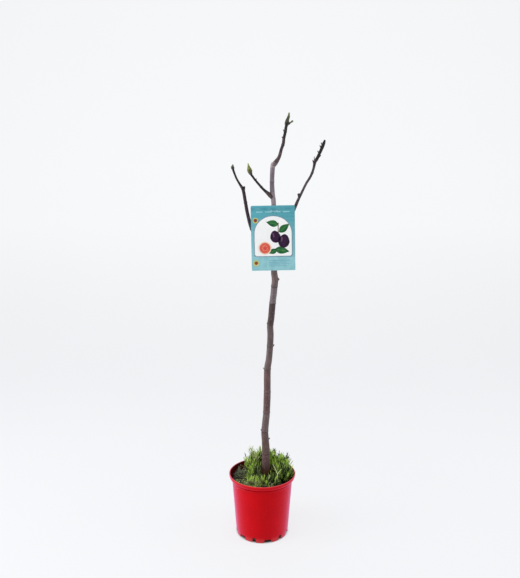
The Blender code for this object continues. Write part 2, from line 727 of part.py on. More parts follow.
def label_matrix():
    """Turns a flat outline in XY into the upright card, its front towards -Y."""
    place = Matrix.Translation((LABEL_CENTRE[0], LABEL_BACK_Y - LABEL_THICKNESS / 2, LABEL_CENTRE[1]))
    return place @ Matrix.Rotation(-LABEL_ROLL, 4, "Y") @ Matrix.Rotation(math.pi / 2, 4, "X")


def flat_shape(name, outlines, thickness, helpers):
    """A flat closed plate from one or more closed outlines in XY."""
    curve = bpy.data.curves.new(name, "CURVE")
    curve.dimensions = "2D"
    curve.fill_mode = "BOTH"
    curve.extrude = thickness / 2
    for outline in outlines:
        line = curve.splines.new("POLY")
        line.points.add(len(outline) - 1)
        for point, (x, y) in zip(line.points, outline):
            point.co = (x, y, 0.0, 1.0)
        line.use_cyclic_u = True
    guide = helper_object(name + "_outline", curve, helpers)
    mesh = evaluated_mesh(guide)
    drop(guide)
    return helper_object(name, mesh, helpers)


def rounded_box(width, height, radius, steps=4):
    """Outline of a rectangle with round corners, centred on zero."""
    points = []
    for turn, (sx, sy) in enumerate(((1, 1), (-1, 1), (-1, -1), (1, -1))):
        for step in range(steps + 1):
            angle = math.pi / 2 * (turn + step / steps)
            points.append((sx * (width / 2 - radius) + radius * math.cos(angle),
                           sy * (height / 2 - radius) + radius * math.sin(angle)))
    return points


def box(name, centre, size, helpers):
    """A plain box."""
    shape = bmesh.new()
    bmesh.ops.create_cube(shape, size=1.0)
    bmesh.ops.scale(shape, verts=shape.verts, vec=size)
    bmesh.ops.translate(shape, verts=shape.verts, vec=centre)
    return from_shape(name, shape, helpers)


def make_label(parts, helpers, origin, trunk_x):
    """The upright card with two slits for its tie."""
    plate = flat_shape("label_plate", [rounded_box(*LABEL_SIZE, LABEL_CORNER)], LABEL_THICKNESS, helpers)
    plate.data.transform(label_matrix())
    offset = TIE_INNER_RADIUS + TIE_BAND[0] / 2
    slits = [box(f"slit_{side}", (trunk_x + side * offset, LABEL_BACK_Y, TIE_HEIGHT),
                 (TIE_SLIT[0], SLIT_CUT, TIE_SLIT[1]), helpers) for side in (-1, 1)]
    cut(plate, slits, "slit")
    mesh = evaluated_mesh(plate)
    mesh.name = "label"
    for helper in [plate] + slits:
        drop(helper)
    return add_object("label", mesh, parts, origin, make_material("label_card"))


def tie_outline(spread, front, centre):
    """Plan of the tie: round behind the trunk and straight across the card's front."""
    points = []
    for step in range(TIE_STEPS + 1):
        angle = math.pi * step / TIE_STEPS
        points.append((centre[0] + spread * math.cos(angle), centre[1] + spread * math.sin(angle)))
    points.append((centre[0] - spread, front + TIE_CORNER))
    points.append((centre[0] - spread + TIE_CORNER, front))
    points.append((centre[0] + spread - TIE_CORNER, front))
    points.append((centre[0] + spread, front + TIE_CORNER))
    return points


def make_tie(parts, helpers, origin, centre):
    """The thin band that holds the card to the trunk."""
    front = LABEL_BACK_Y - LABEL_THICKNESS - GAP
    outlines = [tie_outline(TIE_INNER_RADIUS + TIE_BAND[0], front - TIE_BAND[0], centre),
                tie_outline(TIE_INNER_RADIUS, front, centre)]
    band = flat_shape("tie_band", outlines, TIE_BAND[1], helpers)
    band.data.transform(Matrix.Translation((0.0, 0.0, TIE_HEIGHT)))
    back = centre[1] + TIE_INNER_RADIUS + TIE_BAND[0] / 2 + TIE_HEAD[1] / 2
    head = box("tie_head", (centre[0], back, TIE_HEIGHT), TIE_HEAD, helpers)
    mesh = unite("label_tie", [band, head], helpers)
    return add_object("label_tie", mesh, parts, origin, make_material("tie_clear"))


def crown(name, centre, halves, turn, height, rng, walls, helpers):
    """The heart of a tuft: a low core, flat underneath, that is all needle leaves on top."""
    shape = bmesh.new()
    bmesh.ops.create_icosphere(shape, subdivisions=3, radius=1.0)
    base = SOIL_TOP + SOIL_CRUMB + CROWN_LIFT
    shift = Vector((rng.uniform(0.0, CROWN_SHIFT), 0.0, 0.0))
    under = [face for face in shape.faces if all(v.co.z < CROWN_FLOOR for v in face.verts)]
    bmesh.ops.delete(shape, geom=under, context="FACES")
    rim = [edge for edge in shape.edges if edge.is_boundary]
    bmesh.ops.contextual_create(shape, geom=rim)
    for vertex in shape.verts:
        bump = 1.0 + CROWN_ROUGHNESS * noise.noise(vertex.co * CROWN_GRAIN + shift)
        vertex.co = Vector((vertex.co.x * halves[0] * bump, vertex.co.y * halves[1] * bump,
                            max(vertex.co.z, 0.0) * height * bump))
    place = Matrix.Translation((*centre, base)) @ Matrix.Rotation(math.radians(turn), 4, "Z")
    bmesh.ops.transform(shape, verts=shape.verts, matrix=place)
    for vertex in shape.verts:
        vertex.co = inside_cell(vertex.co, centre, walls, CORE_ROOM)
    upper = [face for face in shape.faces if len(face.verts) == 3]
    middle = Vector((*centre, base - CROWN_MIDDLE * height))
    for tip in bmesh.ops.poke(shape, faces=upper)["verts"]:
        way = (tip.co - middle).normalized() + Vector((0.0, 0.0, NEEDLE_RISE))
        reach = rng.uniform(*NEEDLE_LENGTH)
        while (inside_cell(tip.co + way * reach, centre, walls) - tip.co - way * reach).length > WELD:
            reach *= NEEDLE_SHORTEN
        tip.co += way * reach
    bmesh.ops.triangulate(shape, faces=[face for face in shape.faces if len(face.verts) > 4])
    bmesh.ops.recalc_face_normals(shape, faces=shape.faces)
    return from_shape(name, shape, helpers)


def cell_walls(own, centres):
    """Upright planes round a tuft's cell, as (normal, limit): neighbours, trunk and dry stems."""
    walls = []
    here = Vector(own)
    for other in centres:
        if other != own:
            there = Vector(other)
            normal = (there - here).normalized()
            walls.append((normal, normal.dot((here + there) / 2) - CELL_MARGIN))
    rods = [(WEED_CENTRE, TRUNK[1][3])] + [(foot, DRY_STEM_RADIUS) for _, foot, _ in DRY_STEMS]
    for spot, radius in rods:
        rod = Vector(spot)
        normal = (rod - here).normalized()
        walls.append((normal, normal.dot(rod) - radius - CELL_MARGIN))
    return walls


def inside_cell(spot, centre, walls, room_share=1.0):
    """The point drawn in towards its tuft's middle until it is inside the cell and the pot."""
    middle = Vector(centre)
    offset = Vector(spot[:2]) - middle
    share = 1.0
    for normal, limit in walls:
        reach = normal.dot(offset)
        if reach > TINY:
            share = min(share, room_share * (limit - normal.dot(middle)) / reach)
    room = room_share * (WEED_ROOM_ABOVE if spot[2] > POT_HEIGHT + OVER_RIM else WEED_ROOM_BELOW)
    while (middle + offset * share).length > room:
        share *= CELL_SHRINK
    flat = middle + offset * share
    return Vector((flat.x, flat.y, spot[2]))


def leaf_blade(name, start, end, helpers):
    """A pointed needle leaf, wider than thick."""
    reach = end - start
    shape = bmesh.new()
    bmesh.ops.create_cone(shape, cap_ends=True, segments=3, radius1=0.5, radius2=0.0, depth=1.0)
    bmesh.ops.scale(shape, verts=shape.verts, vec=(LEAF_WIDTH, LEAF_THICKNESS, reach.length))
    side = reach.cross(Vector((0.0, 0.0, 1.0))).normalized()
    front = reach.cross(side).normalized()
    turn = Matrix((side, front, reach.normalized())).transposed().to_4x4()
    bmesh.ops.transform(shape, verts=shape.verts, matrix=Matrix.Translation((start + end) / 2) @ turn)
    return from_shape(name, shape, helpers)


def make_tuft(parts, helpers, origin, row, centres):
    """One tuft: a low needle crown with its root, and taller leafy stems fanning out of it."""
    name, centre, halves, turn, top, stem_count, leaf_count, seed = row
    rng = random.Random(seed)
    walls = cell_walls(centre, centres)
    base = SOIL_TOP + SOIL_CRUMB + CROWN_LIFT
    crown_height = CROWN_SHARE * top
    pieces = [crown(name + "_crown", centre, halves, turn, crown_height, rng, walls, helpers)]
    heart = (*centre, base + CROWN_MIDDLE * crown_height)
    pieces.append(cone(name + "_root", (*centre, SOIL_TOP - ROOT_DEPTH), heart, ROOT_RADIUS, ROOT_RADIUS,
                       ROOT_SIDES, helpers))
    spin = Matrix.Rotation(math.radians(turn), 2)
    for number in range(stem_count):
        share = math.sqrt((number + 0.5) / stem_count)
        angle = number * GOLDEN_ANGLE + rng.uniform(-STEM_TURN, STEM_TURN)
        way = spin @ Vector((halves[0] * math.cos(angle), halves[1] * math.sin(angle)))
        foot = Vector(centre) + STEM_FOOT_SPREAD * share * way
        tip = Vector(centre) + share * way * rng.uniform(*STEM_TIP_SPREAD)
        low = base + STEM_FOOT_SPREAD * crown_height * math.sqrt(1.0 - (STEM_FOOT_DROP * share) ** 2)
        high = base + top * (1.0 - STEM_DROP * share * share) * rng.uniform(*STEM_HEIGHT)
        line = []
        for step, radius in ((0.0, STEM_RADII[0]), (STEM_MIDDLE, STEM_RADII[0]), (1.0, STEM_RADII[1])):
            flat = foot.lerp(tip, step ** STEM_BEND)
            line.append((inside_cell((*flat, low + (high - low) * step), centre, walls), radius))
        pieces.append(tube(f"{name}_stem_{number}", line, helpers, 0))
        for leaf in range(leaf_count):
            share_up = leaf / (leaf_count - 1)
            along = LEAF_STRETCH[0] + (LEAF_STRETCH[1] - LEAF_STRETCH[0]) * share_up
            start = line[1][0].lerp(line[2][0], (along - LEAF_STRETCH[0]) * LEAF_SPACING)
            compass = leaf * GOLDEN_ANGLE + number
            rise = rng.uniform(*LEAF_RISE) + (along - LEAF_STRETCH[0]) * LEAF_LIFT
            reach = Vector((math.cos(compass) * math.cos(rise), math.sin(compass) * math.cos(rise),
                            math.sin(rise)))
            end = inside_cell(start + reach * rng.uniform(*LEAF_LENGTH), centre, walls)
            pieces.append(leaf_blade(f"{name}_leaf_{number}_{leaf}", start, end, helpers))
    mesh = unite(name, pieces, helpers, "MANIFOLD")
    add_object(name, mesh, parts, origin, make_material("weed_green"))


def make_dry_stem(parts, helpers, origin, row):
    """A pale forked stem that stands in the soil."""
    name, foot, arms = row
    start = Vector((*foot, SOIL_TOP))
    pieces = []
    for number, arm in enumerate(arms):
        line = [(start + Vector(point[:3]), point[3]) for point in arm]
        pieces.append(tube(f"{name}_{number}", line, helpers, 1))
    mesh = unite(name, pieces, helpers)
    add_object(name, mesh, parts, origin, make_material("straw"))


def main():
    clear_scene()
    parts = make_collection("potted_fig")
    helpers = make_collection("helpers")
    origin = bpy.data.objects.new("pot_axis", None)
    origin.location = (POT_AXIS_X, 0.0, 0.0)
    parts.objects.link(origin)
    make_pot(parts, helpers, origin)
    centres = [row[1] for row in TUFTS]
    roots = [(centre, ROOT_RADIUS, ROOT_DEPTH) for centre in centres]
    roots += [(foot, DRY_STEM_RADIUS, DRY_STEM_DEPTH) for _, foot, _ in DRY_STEMS]
    make_soil(parts, helpers, origin, roots)
    make_tree(parts, helpers, origin)
    make_buds(parts, helpers, origin)
    centre = at_height(smooth_line(TRUNK, STEMS[0][4]), TIE_HEIGHT)
    make_label(parts, helpers, origin, centre.x)
    make_tie(parts, helpers, origin, centre)
    for row in TUFTS:
        make_tuft(parts, helpers, origin, row, centres)
    for row in DRY_STEMS:
        make_dry_stem(parts, helpers, origin, row)
    bpy.context.view_layer.update()


main()
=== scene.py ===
"""Looks of the potted fig: bark and buds, nursery pot, crumbly soil, needle weeds, picture card."""
import math
import random

import bmesh
import bpy
from mathutils import Matrix, Vector, kdtree, noise


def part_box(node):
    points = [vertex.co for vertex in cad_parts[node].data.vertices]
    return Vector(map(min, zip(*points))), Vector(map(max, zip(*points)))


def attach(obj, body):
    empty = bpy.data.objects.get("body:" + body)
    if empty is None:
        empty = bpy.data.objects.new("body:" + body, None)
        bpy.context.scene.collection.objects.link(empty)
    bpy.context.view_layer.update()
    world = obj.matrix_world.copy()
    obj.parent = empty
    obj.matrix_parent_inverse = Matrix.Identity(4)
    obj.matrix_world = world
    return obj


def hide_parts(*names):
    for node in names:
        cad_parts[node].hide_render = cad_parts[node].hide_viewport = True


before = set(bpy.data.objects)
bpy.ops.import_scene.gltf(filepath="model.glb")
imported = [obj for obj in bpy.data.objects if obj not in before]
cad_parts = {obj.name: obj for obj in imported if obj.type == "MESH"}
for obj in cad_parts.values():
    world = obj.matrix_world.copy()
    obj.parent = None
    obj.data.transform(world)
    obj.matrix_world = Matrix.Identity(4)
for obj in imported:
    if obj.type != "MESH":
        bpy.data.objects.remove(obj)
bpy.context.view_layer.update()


def metres(*rows):
    """Rows of lengths, given in millimetres."""
    return tuple(tuple(value / 1000.0 for value in row) for row in rows)


# Places and sizes taken from the frame
POT_LOW, POT_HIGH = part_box("pot")
AXIS = Vector(((POT_LOW.x + POT_HIGH.x) / 2, (POT_LOW.y + POT_HIGH.y) / 2, 0.0))
RIM_RADIUS = (POT_HIGH.x - POT_LOW.x) / 2
POT_HEIGHT = POT_HIGH.z

# Pot, as in the construction
WALL_TOP_RADIUS = 0.0862
WALL_FOOT_RADIUS = 0.0745
WALL = 0.0016
COLLAR_HEIGHT = 0.011
COLLAR_FOOT = 0.018
COLLAR_TAPER = 0.0022
COLLAR_STEP = (0.0033, 0.0035)
LIP = 0.0034
FOOT_TAPER = 0.0006
FLOOR_UNDERSIDE = 0.0045
FLOOR = 0.0018
NOTCHES = 12
NOTCH_TURN = math.radians(12.0)
NARROW_NOTCH = (0.012, 0.0145)
WIDE_NOTCH = (0.023, 0.01)
NOTCH_DEPTH = 0.02
NOTCH_TAPER = 0.8
DRAIN_HOLES = 6
DRAIN_HOLE_RADIUS = 0.005
DRAIN_CIRCLE = 0.045
DRAIN_CUT = (0.02, 0.004)
POT_STEPS = 160
# name, plain, cloudy and streaked colour, sheen, specular level
POT_FINISHES = (
    ("pot_plastic", ((200, 0, 0), (208, 0, 2), (218, 2, 8)), 1.0, 0.04),
    # The step and inside rows are darker copies of the red plastic: painted shade under the collar and on the
    # inner wall
    ("pot_step_shade", ((176, 0, 2), (182, 0, 4), (190, 2, 8)), 0.0, 0.0),
    ("pot_inside_shade", ((66, 1, 10), (78, 3, 15), (88, 10, 22)), 0.0, 0.04),
)
# Turned wall: where its rings start, its unevenness, rounding of the foot and the corners
WALL_START = 0.026
WALL_RINGS = 16
WALL_WAVE = 0.00016
WAVE_FROM = (0.05, 0.018)
WAVE_GRAIN = (14.0, 14.0, 9.0)
FOOT_ROUND = 0.0004
FOOT_TOP = 0.016
CORNER_SHARE = 0.45
NOTCH_ROUND = 0.22
POT_SHARP = 38.0
# Wear and painted highlight: soil dust over the soil and at the foot, a painted highlight along the lip, a
# rubbed foot
DUST_RISE = (0.004, 0.002)
DUST_FOOT = (0.35, 0.004, 0.02)
LIP_HIGHLIGHT = 0.0012
WORN_FOOT = 0.001

# Soil
SOIL_TOP = 0.1565
SOIL_MOUND = (0.0025, 0.035)
SOIL_CRUMBS = ((0.0105, 0.0016), (0.0042, 0.0009), (0.0018, 0.0005))
SOIL_SEED = 3.1
SOIL_STEPS = 168
SOIL_RINGS = 62
SOIL_ROOM = 0.0004
SOIL_UNDERSIDE = FLOOR_UNDERSIDE + FLOOR + 0.0003
SOIL_EDGE = 0.004
SOIL_SHARP = 80.0
CRUMB_COUNT = 900
CRUMB_SIZE = (0.0008, 0.0026)
CRUMB_STRETCH = ((0.7, 1.6), (0.6, 1.2), (0.4, 0.9))
CRUMB_TILT = 0.6
CRUMB_LIFT = 0.15
CRUMB_DENTS = (0.0003, 0.0016)
CRUMB_SHARP = 30.0
CRUMB_SEED = 5

# Woody stems in millimetres: centre line points from the pot's axis with the stem's radius at each
TRUNK = metres(
    (12, 7, 90.5, 12.2), (11.5, 6.5, 159.5, 12.2), (10.5, 6, 203.5, 11.7), (10.5, 6, 239.5, 11.2),
    (9.2, 5, 266.5, 10.4), (7.4, 4, 294.5, 10.1), (10, 4, 327.5, 9.8), (12, 3, 349.5, 9.8),
    (14, 1, 407.5, 9.8), (14.5, -1, 478.5, 9.5), (18.5, -1, 507.5, 9), (21.5, 0, 544.5, 8.8),
    (23, 1, 575.5, 8.8), (22, 2, 604.5, 8.9), (25, 1, 628.5, 8.9), (28, 0, 665.5, 9),
    (31, -1, 690.5, 8.9), (32.8, -1, 710.5, 8.9), (34.8, 0, 732.5, 9.2), (32.2, 1, 757.5, 8.6),
    (33, 1, 794.5, 8.2), (32.5, 0.5, 854.5, 7.2), (30.8, 0, 934.5, 6.3), (27.5, -2, 964.5, 6.4),
    (26, -2, 986.5, 6.2), (26, -1, 1007.5, 6.1), (27, 0, 1029.5, 6.3), (28, 0, 1041.5, 6.3),
    (29.6, -0.2, 1047.5, 4.6), (30.4, -0.4, 1049.5, 1.6),
)
LEADER = metres(
    (28.5, 0, 1040.5, 5.2), (37, -2, 1050.5, 5.1), (45, -4, 1063.5, 4.5), (50, -5, 1081.5, 4.2),
    (55, -7, 1096.5, 4.2), (56.8, -9, 1110.5, 4), (60, -10.5, 1125.5, 4), (62, -12, 1138.5, 3.9),
    (63.6, -12.8, 1144.5, 4),
)
LEFT_BRANCH = metres(
    (32, 2, 781.5, 5.6), (18, 5, 800.5, 5.2), (-6, 9, 829.5, 5), (-29, 12, 871.5, 4.9),
    (-40, 16, 911.5, 4.8), (-46.2, 19, 944.5, 4.6), (-52.2, 22, 976.5, 4.5), (-62.2, 23, 993.5, 3.1),
    (-71.2, 24, 1009.5, 2.8), (-78.8, 26, 1029.5, 3.1), (-80.3, 26, 1034.5, 3.3),
)
RIGHT_BRANCH = metres(
    (33, 1, 807.5, 5.6), (46, 5, 838.5, 5.1), (68, 10, 882.5, 4.6), (90, 16, 932.5, 4.3),
    (96.8, 18, 948.5, 3.9), (105.2, 20, 965.5, 3.5), (112, 22, 979.5, 3.3), (120.3, 25, 995.5, 3.3),
    (132, 28, 1014.5, 3.5), (139.3, 31, 1033.5, 3.4), (143.6, 34, 1052.5, 4.3),
    (148.2, 35, 1059.5, 4.5), (155.6, 37, 1074.5, 4.1), (164, 40, 1093.5, 4.6),
    (168.2, 41.5, 1104.5, 4.1), (170.6, 42, 1112, 1.8),
)
SIDE_SHOOT = metres(
    (27, -1.5, 957.5, 5.4), (20, -4, 963, 4.8), (6, -9, 974.5, 3.7), (-3, -13, 983.5, 3.3),
    (-16.5, -19, 998.5, 3), (-27.5, -24, 1012.5, 3), (-30.3, -26.2, 1017, 3.3),
)

# Leaf scar rings in millimetres: height, how far the ring stands out
TRUNK_RINGS = metres(
    (231.5, 0.8), (298.5, 0.7), (354, 0.8), (414, 0.5), (481, 0.9), (547, 0.7), (609, 0.9), (668, 1),
    (715, 0.9), (914.5, 0.6), (997.5, 0.5),
)
LEADER_RINGS = metres((1093, 0.7), (1126.5, 0.7))
LEFT_RINGS = metres((872.5, 0.5), (942.5, 0.7))
RIGHT_RINGS = metres((894.5, 0.5), (1021.5, 0.6))
SHOOT_RINGS = ((0.9835, 0.0004),)
RING_WIDTH = 0.0014

# Side buds and cut stubs: height, compass angle and rise in degrees, length from the centre line,
# foot and end radius
TRUNK_STUBS = (
    (0.268, 5, 25, 0.0143, 0.0048, 0.0018), (0.296, 195, 25, 0.0136, 0.0044, 0.0018),
    (0.3505, 75, 25, 0.013, 0.0044, 0.0018), (0.4105, 330, 25, 0.0126, 0.004, 0.0016),
    (0.477, 178, 25, 0.013, 0.0048, 0.0022), (0.542, 0, 34, 0.0148, 0.0048, 0.002),
    (0.605, 150, 25, 0.012, 0.0042, 0.0017), (0.6645, 20, 25, 0.012, 0.0044, 0.0018),
    (0.711, 250, 28, 0.0116, 0.004, 0.0016), (0.73, 355, 25, 0.0116, 0.006, 0.0038),
    (0.8745, 100, 45, 0.0102, 0.0032, 0.0011), (0.9995, 60, 45, 0.0096, 0.003, 0.001),
)
LEADER_STUBS = (
    (1.0605, 335, 40, 0.0084, 0.0027, 0.001), (1.0905, 345, 45, 0.009, 0.0027, 0.001),
    (1.1085, 195, 45, 0.0082, 0.0025, 0.0009), (1.125, 200, 45, 0.0088, 0.0025, 0.001),
    (1.1325, 90, 45, 0.0074, 0.0023, 0.0009),
)
LEFT_STUBS = (
    (0.9075, 80, 50, 0.0086, 0.0026, 0.001), (0.972, 62, 72, 0.0132, 0.0038, 0.0027),
    (1.0105, 200, 50, 0.0058, 0.0018, 0.0009),
)
RIGHT_STUBS = (
    (0.9575, 172, 70, 0.009, 0.0044, 0.0032), (1.0185, 350, 40, 0.0084, 0.0026, 0.0011),
    (1.0465, 165, 62, 0.0114, 0.0034, 0.0018), (1.0625, 5, 35, 0.0124, 0.0032, 0.001),
    (1.0745, 170, 55, 0.0092, 0.0026, 0.001), (1.0875, 165, 60, 0.0106, 0.0029, 0.001),
    (1.0955, 160, 62, 0.0106, 0.0026, 0.001),
)
SHOOT_STUBS = ((1.0005, 30, 50, 0.0062, 0.0018, 0.0009),)
SPIKE = metres((142.5, 34, 1054.5, 1.4), (141.8, 33.9, 1061, 1.1), (141.2, 33.8, 1067.5, 0.5))
STUB_END = 0.0025
CUT_EDGE = (0.94, 0.35)
SIDE_BUD_STRETCH = 1.04
SIDE_BUD_BEND = 0.1
SIDE_BUD_TAPER = (0.55, 3.2)
SIDE_BUD_WAVE = (0.1, 3.0)
SIDE_BUD_STEPS = 12
THINNEST = 0.0003

# Bark tones by the stretch they end at, from the stem's foot up
TRUNK_TONES = (
    (0.186, "rust"), (0.2315, "russet"), (0.2985, "umber"), (0.354, "ash"), (0.481, "russet"),
    (0.547, "ash"), (0.609, "mauve_dark"), (0.668, "umber_dark"), (0.715, "mauve_light"),
    (0.7575, "ash"), (0.97, "mauve"), (1.036, "mauve_cool"), (1.06, "bend_pale"),
)
LEADER_TONES = (
    (1.047, "mauve_cool"), (1.075, "umber_dark"), (1.112, "plum_dark"), (1.2, "black_brown"),
)
LEFT_TONES = ((0.978, "plum_black"), (1.1, "black_plum"))
RIGHT_TONES = ((0.95, "plum_dark"), (1.04, "slate"), (1.06, "plum_black"), (1.2, "ink"))
SHOOT_TONES = ((0.97, "umber_dark"), (1.1, "black_plum"))
TONES = {
    "rust": (104, 70, 54), "russet": (100, 75, 75), "umber": (95, 76, 73), "umber_dark": (72, 57, 58),
    "ash": (101, 85, 85), "mauve_dark": (91, 77, 78), "mauve_light": (114, 102, 106),
    "mauve": (134, 122, 128), "mauve_cool": (114, 103, 113), "bend_pale": (150, 134, 134),
    "plum_dark": (56, 42, 48), "plum_black": (46, 31, 42), "black_plum": (28, 21, 26),
    "black_brown": (28, 22, 22), "slate": (66, 58, 64), "ink": (17, 12, 13),
}

# name, line, rings, stubs, tones, sides, step between cross sections
STEMS = (
    ("trunk", TRUNK, TRUNK_RINGS, TRUNK_STUBS, TRUNK_TONES, 40, 0.0017),
    ("leader", LEADER, LEADER_RINGS, LEADER_STUBS, LEADER_TONES, 24, 0.0012),
    ("left_branch", LEFT_BRANCH, LEFT_RINGS, LEFT_STUBS, LEFT_TONES, 24, 0.0013),
    ("right_branch", RIGHT_BRANCH, RIGHT_RINGS, RIGHT_STUBS, RIGHT_TONES, 24, 0.0013),
    ("side_shoot", SIDE_SHOOT, SHOOT_RINGS, SHOOT_STUBS, SHOOT_TONES, 20, 0.0012),
)
# Share and place of the groove under a ring, the swelling at a branch's foot, the bark's relief
GROOVE = (0.35, 2.2)
COLLAR_FLARE = (0.32, 0.011, 0.007)
BARK_LUMP = (0.03, 0.011)
BARK_RIDGE = (0.01, 0.0026)
BARK_GRAIN = 0.35
BARK_SHARP = 50.0
# Uneven ends of the tones, darker buds and the dark line under a scar ring
TONE_WOBBLE = (0.0012, 0.006)
TONE_BLEND = (0.002, 0.0012)
BUD_DARK = (0.0012, 0.0035, 0.42)
SCAR_LINE = (0.0022, 0.001, 0.0008)

# Green buds in millimetres: centre line points with radii
LEADER_BUD = metres(
    (63.7, -13, 1145.5, 4), (64.2, -13, 1149.2, 4.8), (65, -13, 1153.5, 4.5), (66.8, -13.1, 1160, 3.6),
    (68.3, -13.2, 1164, 3.8), (69.2, -13.2, 1169, 3.1), (70, -13.2, 1175.5, 1.4),
)
LEADER_SIDE_BUD = metres(
    (65.5, -13.1, 1147.5, 2.2), (70, -13.4, 1148, 2.9), (73.5, -13.6, 1150, 1.6),
    (75.5, -13.7, 1151.3, 2), (78, -13.9, 1153, 3.1), (80.6, -14, 1154.9, 1.2),
)
SHOOT_BUD = metres(
    (-30.9, -26.7, 1018.2, 3.4), (-32.8, -27.8, 1023, 5.2), (-34.2, -28.5, 1028.5, 5.5),
    (-36.2, -29.1, 1036, 3.4), (-37.8, -29.5, 1044.5, 0.8),
)
SHOOT_SIDE_SCALE = metres((-31.5, -27, 1019.5, 3), (-29.6, -27.2, 1023.5, 2.6), (-28.3, -27.4, 1028, 0.8))
LEFT_BUD = metres(
    (-80.5, 26, 1035.6, 3.6), (-80.8, 26, 1038.5, 3.9), (-80.3, 26, 1042, 2.8),
    (-79.8, 26, 1045.5, 1.1),
)
# node, lines, young colour, old colour, share that is old, slot
BUDS = (
    ("leader_bud", (LEADER_BUD, LEADER_SIDE_BUD), (92, 112, 50), (14, 17, 10), 0.3, "bud_green"),
    ("shoot_bud", (SHOOT_BUD, SHOOT_SIDE_SCALE), (136, 148, 62), (44, 36, 22), 0.08, "bud_green"),
    ("left_bud", (LEFT_BUD,), (84, 98, 62), (20, 22, 18), 0.2, "bud_grey"),
)
BUD_SINK = 0.0022
BUD_OVAL = 0.06
BUD_SIDES = 28
BUD_STEP = 0.0004
BUD_SHARP = 60.0
SCALE_LIFT = 0.00045
SCALE_FULL = 0.0048
SCALE_PEAK = 0.2
SCALE_RISE = 0.035
SCALE_LINE = (0.01, 0.03)
# Place along the bud and turn of each scale's edge
SCALE_EDGES = ((0.16, 0.3), (0.3, 2.5), (0.46, 4.6), (0.62, 1.2))

# Card
LABEL_CENTRE = (0.0292, 0.8474)
LABEL_SIZE = (0.1185, 0.175)
LABEL_THICKNESS = 0.0008
LABEL_ROLL = math.radians(1.1)
LABEL_CORNER = 0.0035
LABEL_BACK_Y = -0.0098
TIE_HEIGHT = 0.9195
PRINT_LIFT = 0.00006
CARD_EDGE = 0.00018
CARD_SHARP = 30.0
# Slits: inset from the tie's sides, width, depth and height
SLIT_INSET = 0.0004
SLIT = (0.0018, 0.01, 0.0044)
# Printed window: half width, height of its arch's foot and rise, lower corner, growth of its ring
WINDOW = (0.05, 0.013, 0.046)
WINDOW_FOOT = ((-0.05, -0.044), (-0.046, -0.048), (0.046, -0.048), (0.05, -0.044))
RING_GROWTH = 1.045
# Printed drops and discs: middle, radius, steps, squash, pinch, turn
PLUMS = (((0.006, 0.004), 0.0165, 40, 0.86, 0.2, 0.25), ((0.029, -0.008), 0.0185, 40, 0.84, 0.22, -0.2))
SHINES = (((0.001, 0.008), 0.0062, 24, 0.36, 0.0, 0.25), ((0.023, -0.003), 0.007, 24, 0.34, 0.0, -0.1))
CUT_FRUIT = (-0.0225, -0.0265)
BADGES = (((-0.047, -0.067), 0.0082), ((-0.047, 0.048), 0.0075))
BADGE_HEARTS = (((-0.047, -0.067), 0.0046), ((-0.047, 0.048), 0.0048))
# Printed leaves: middle, length, half width, turn
PRINT_LEAVES = (
    ((0.03, 0.027), 0.036, 0.0105, -0.9), ((-0.002, 0.04), 0.034, 0.01, 1.35),
    ((0.024, -0.033), 0.04, 0.011, -1.75), ((-0.002, -0.036), 0.026, 0.008, 1.9),
)

# Weeds: piece, centre, half sizes, turn, height over the soil, stems, share of stems painted as lit,
# paleness, seed
TUFTS = (
    ("weeds_back", (0.016, 0.052), (0.033, 0.027), 0, 0.056, 66, 0.6, 0.0, 11),
    ("weeds_back_left", (-0.021, 0.037), (0.025, 0.02), -50, 0.07, 50, 0.7, 0.1, 12),
    ("weeds_back_right", (0.052, 0.034), (0.03, 0.026), 50, 0.047, 66, 0.6, 0.0, 13),
    ("weeds_left", (-0.026, -0.006), (0.023, 0.019), 80, 0.033, 56, 0.34, 0.06, 14),
    ("weeds_right", (0.061, -0.01), (0.027, 0.024), 90, 0.033, 66, 0.2, 0.0, 15),
    ("weeds_front_left", (-0.023, -0.047), (0.025, 0.022), 20, 0.021, 58, 0.42, 0.3, 16),
    ("weeds_front", (0.018, -0.045), (0.025, 0.024), 0, 0.022, 60, 0.08, 0.0, 17),
    ("weeds_far_left", (-0.062, -0.03), (0.011, 0.015), 20, 0.01, 24, 0.24, 0.25, 18),
)
WEED_CENTRE = (0.011, 0.006)
TRUNK_ROOM = 0.0125
ROOM_BELOW_RIM = 0.0835
ROOM_ABOVE_RIM = 0.094
CORE_SHARE = 0.66
EDGE_DROP = 0.45
STEM_HEIGHT = (0.46, 1.08)
LEFT_SHOULDER = 0.42
LEFT_SLOPE = (-0.054, -0.012)
STEM_SWAY = 0.22
STEM_LEAN = 0.16
# How far stems painted as lit or as shaded move from the middle tone
STEM_LIT = 0.5
STEM_DRY = (0.06, 0.8)
STOREY_WIDTH = (0.8, 1.1)
TUFT_SHARP = 40.0
# Unevenness of a tuft's core: height, grain, place in the noise
CORE_LUMPS = ((0.3, 2.6, 0.0), (0.16, 9.0, 5.0))
CORE_BELOW = 0.12
# Highest tip value on the core, which keeps it in the darkest needle colours as painted shade
CORE_TIP = 0.25
SPRIG_LENGTH = 0.02
# How much lower the tip value of a stem's lower sprigs is: painted shade deep in the tuft
SPRIG_TIP_DROP = 0.9
SPRIG_KINDS = 9
SPRIG_NODES = 3
SPRIG_BEND = 0.3
SPRIG_STEM = (0.00052, 0.00022)
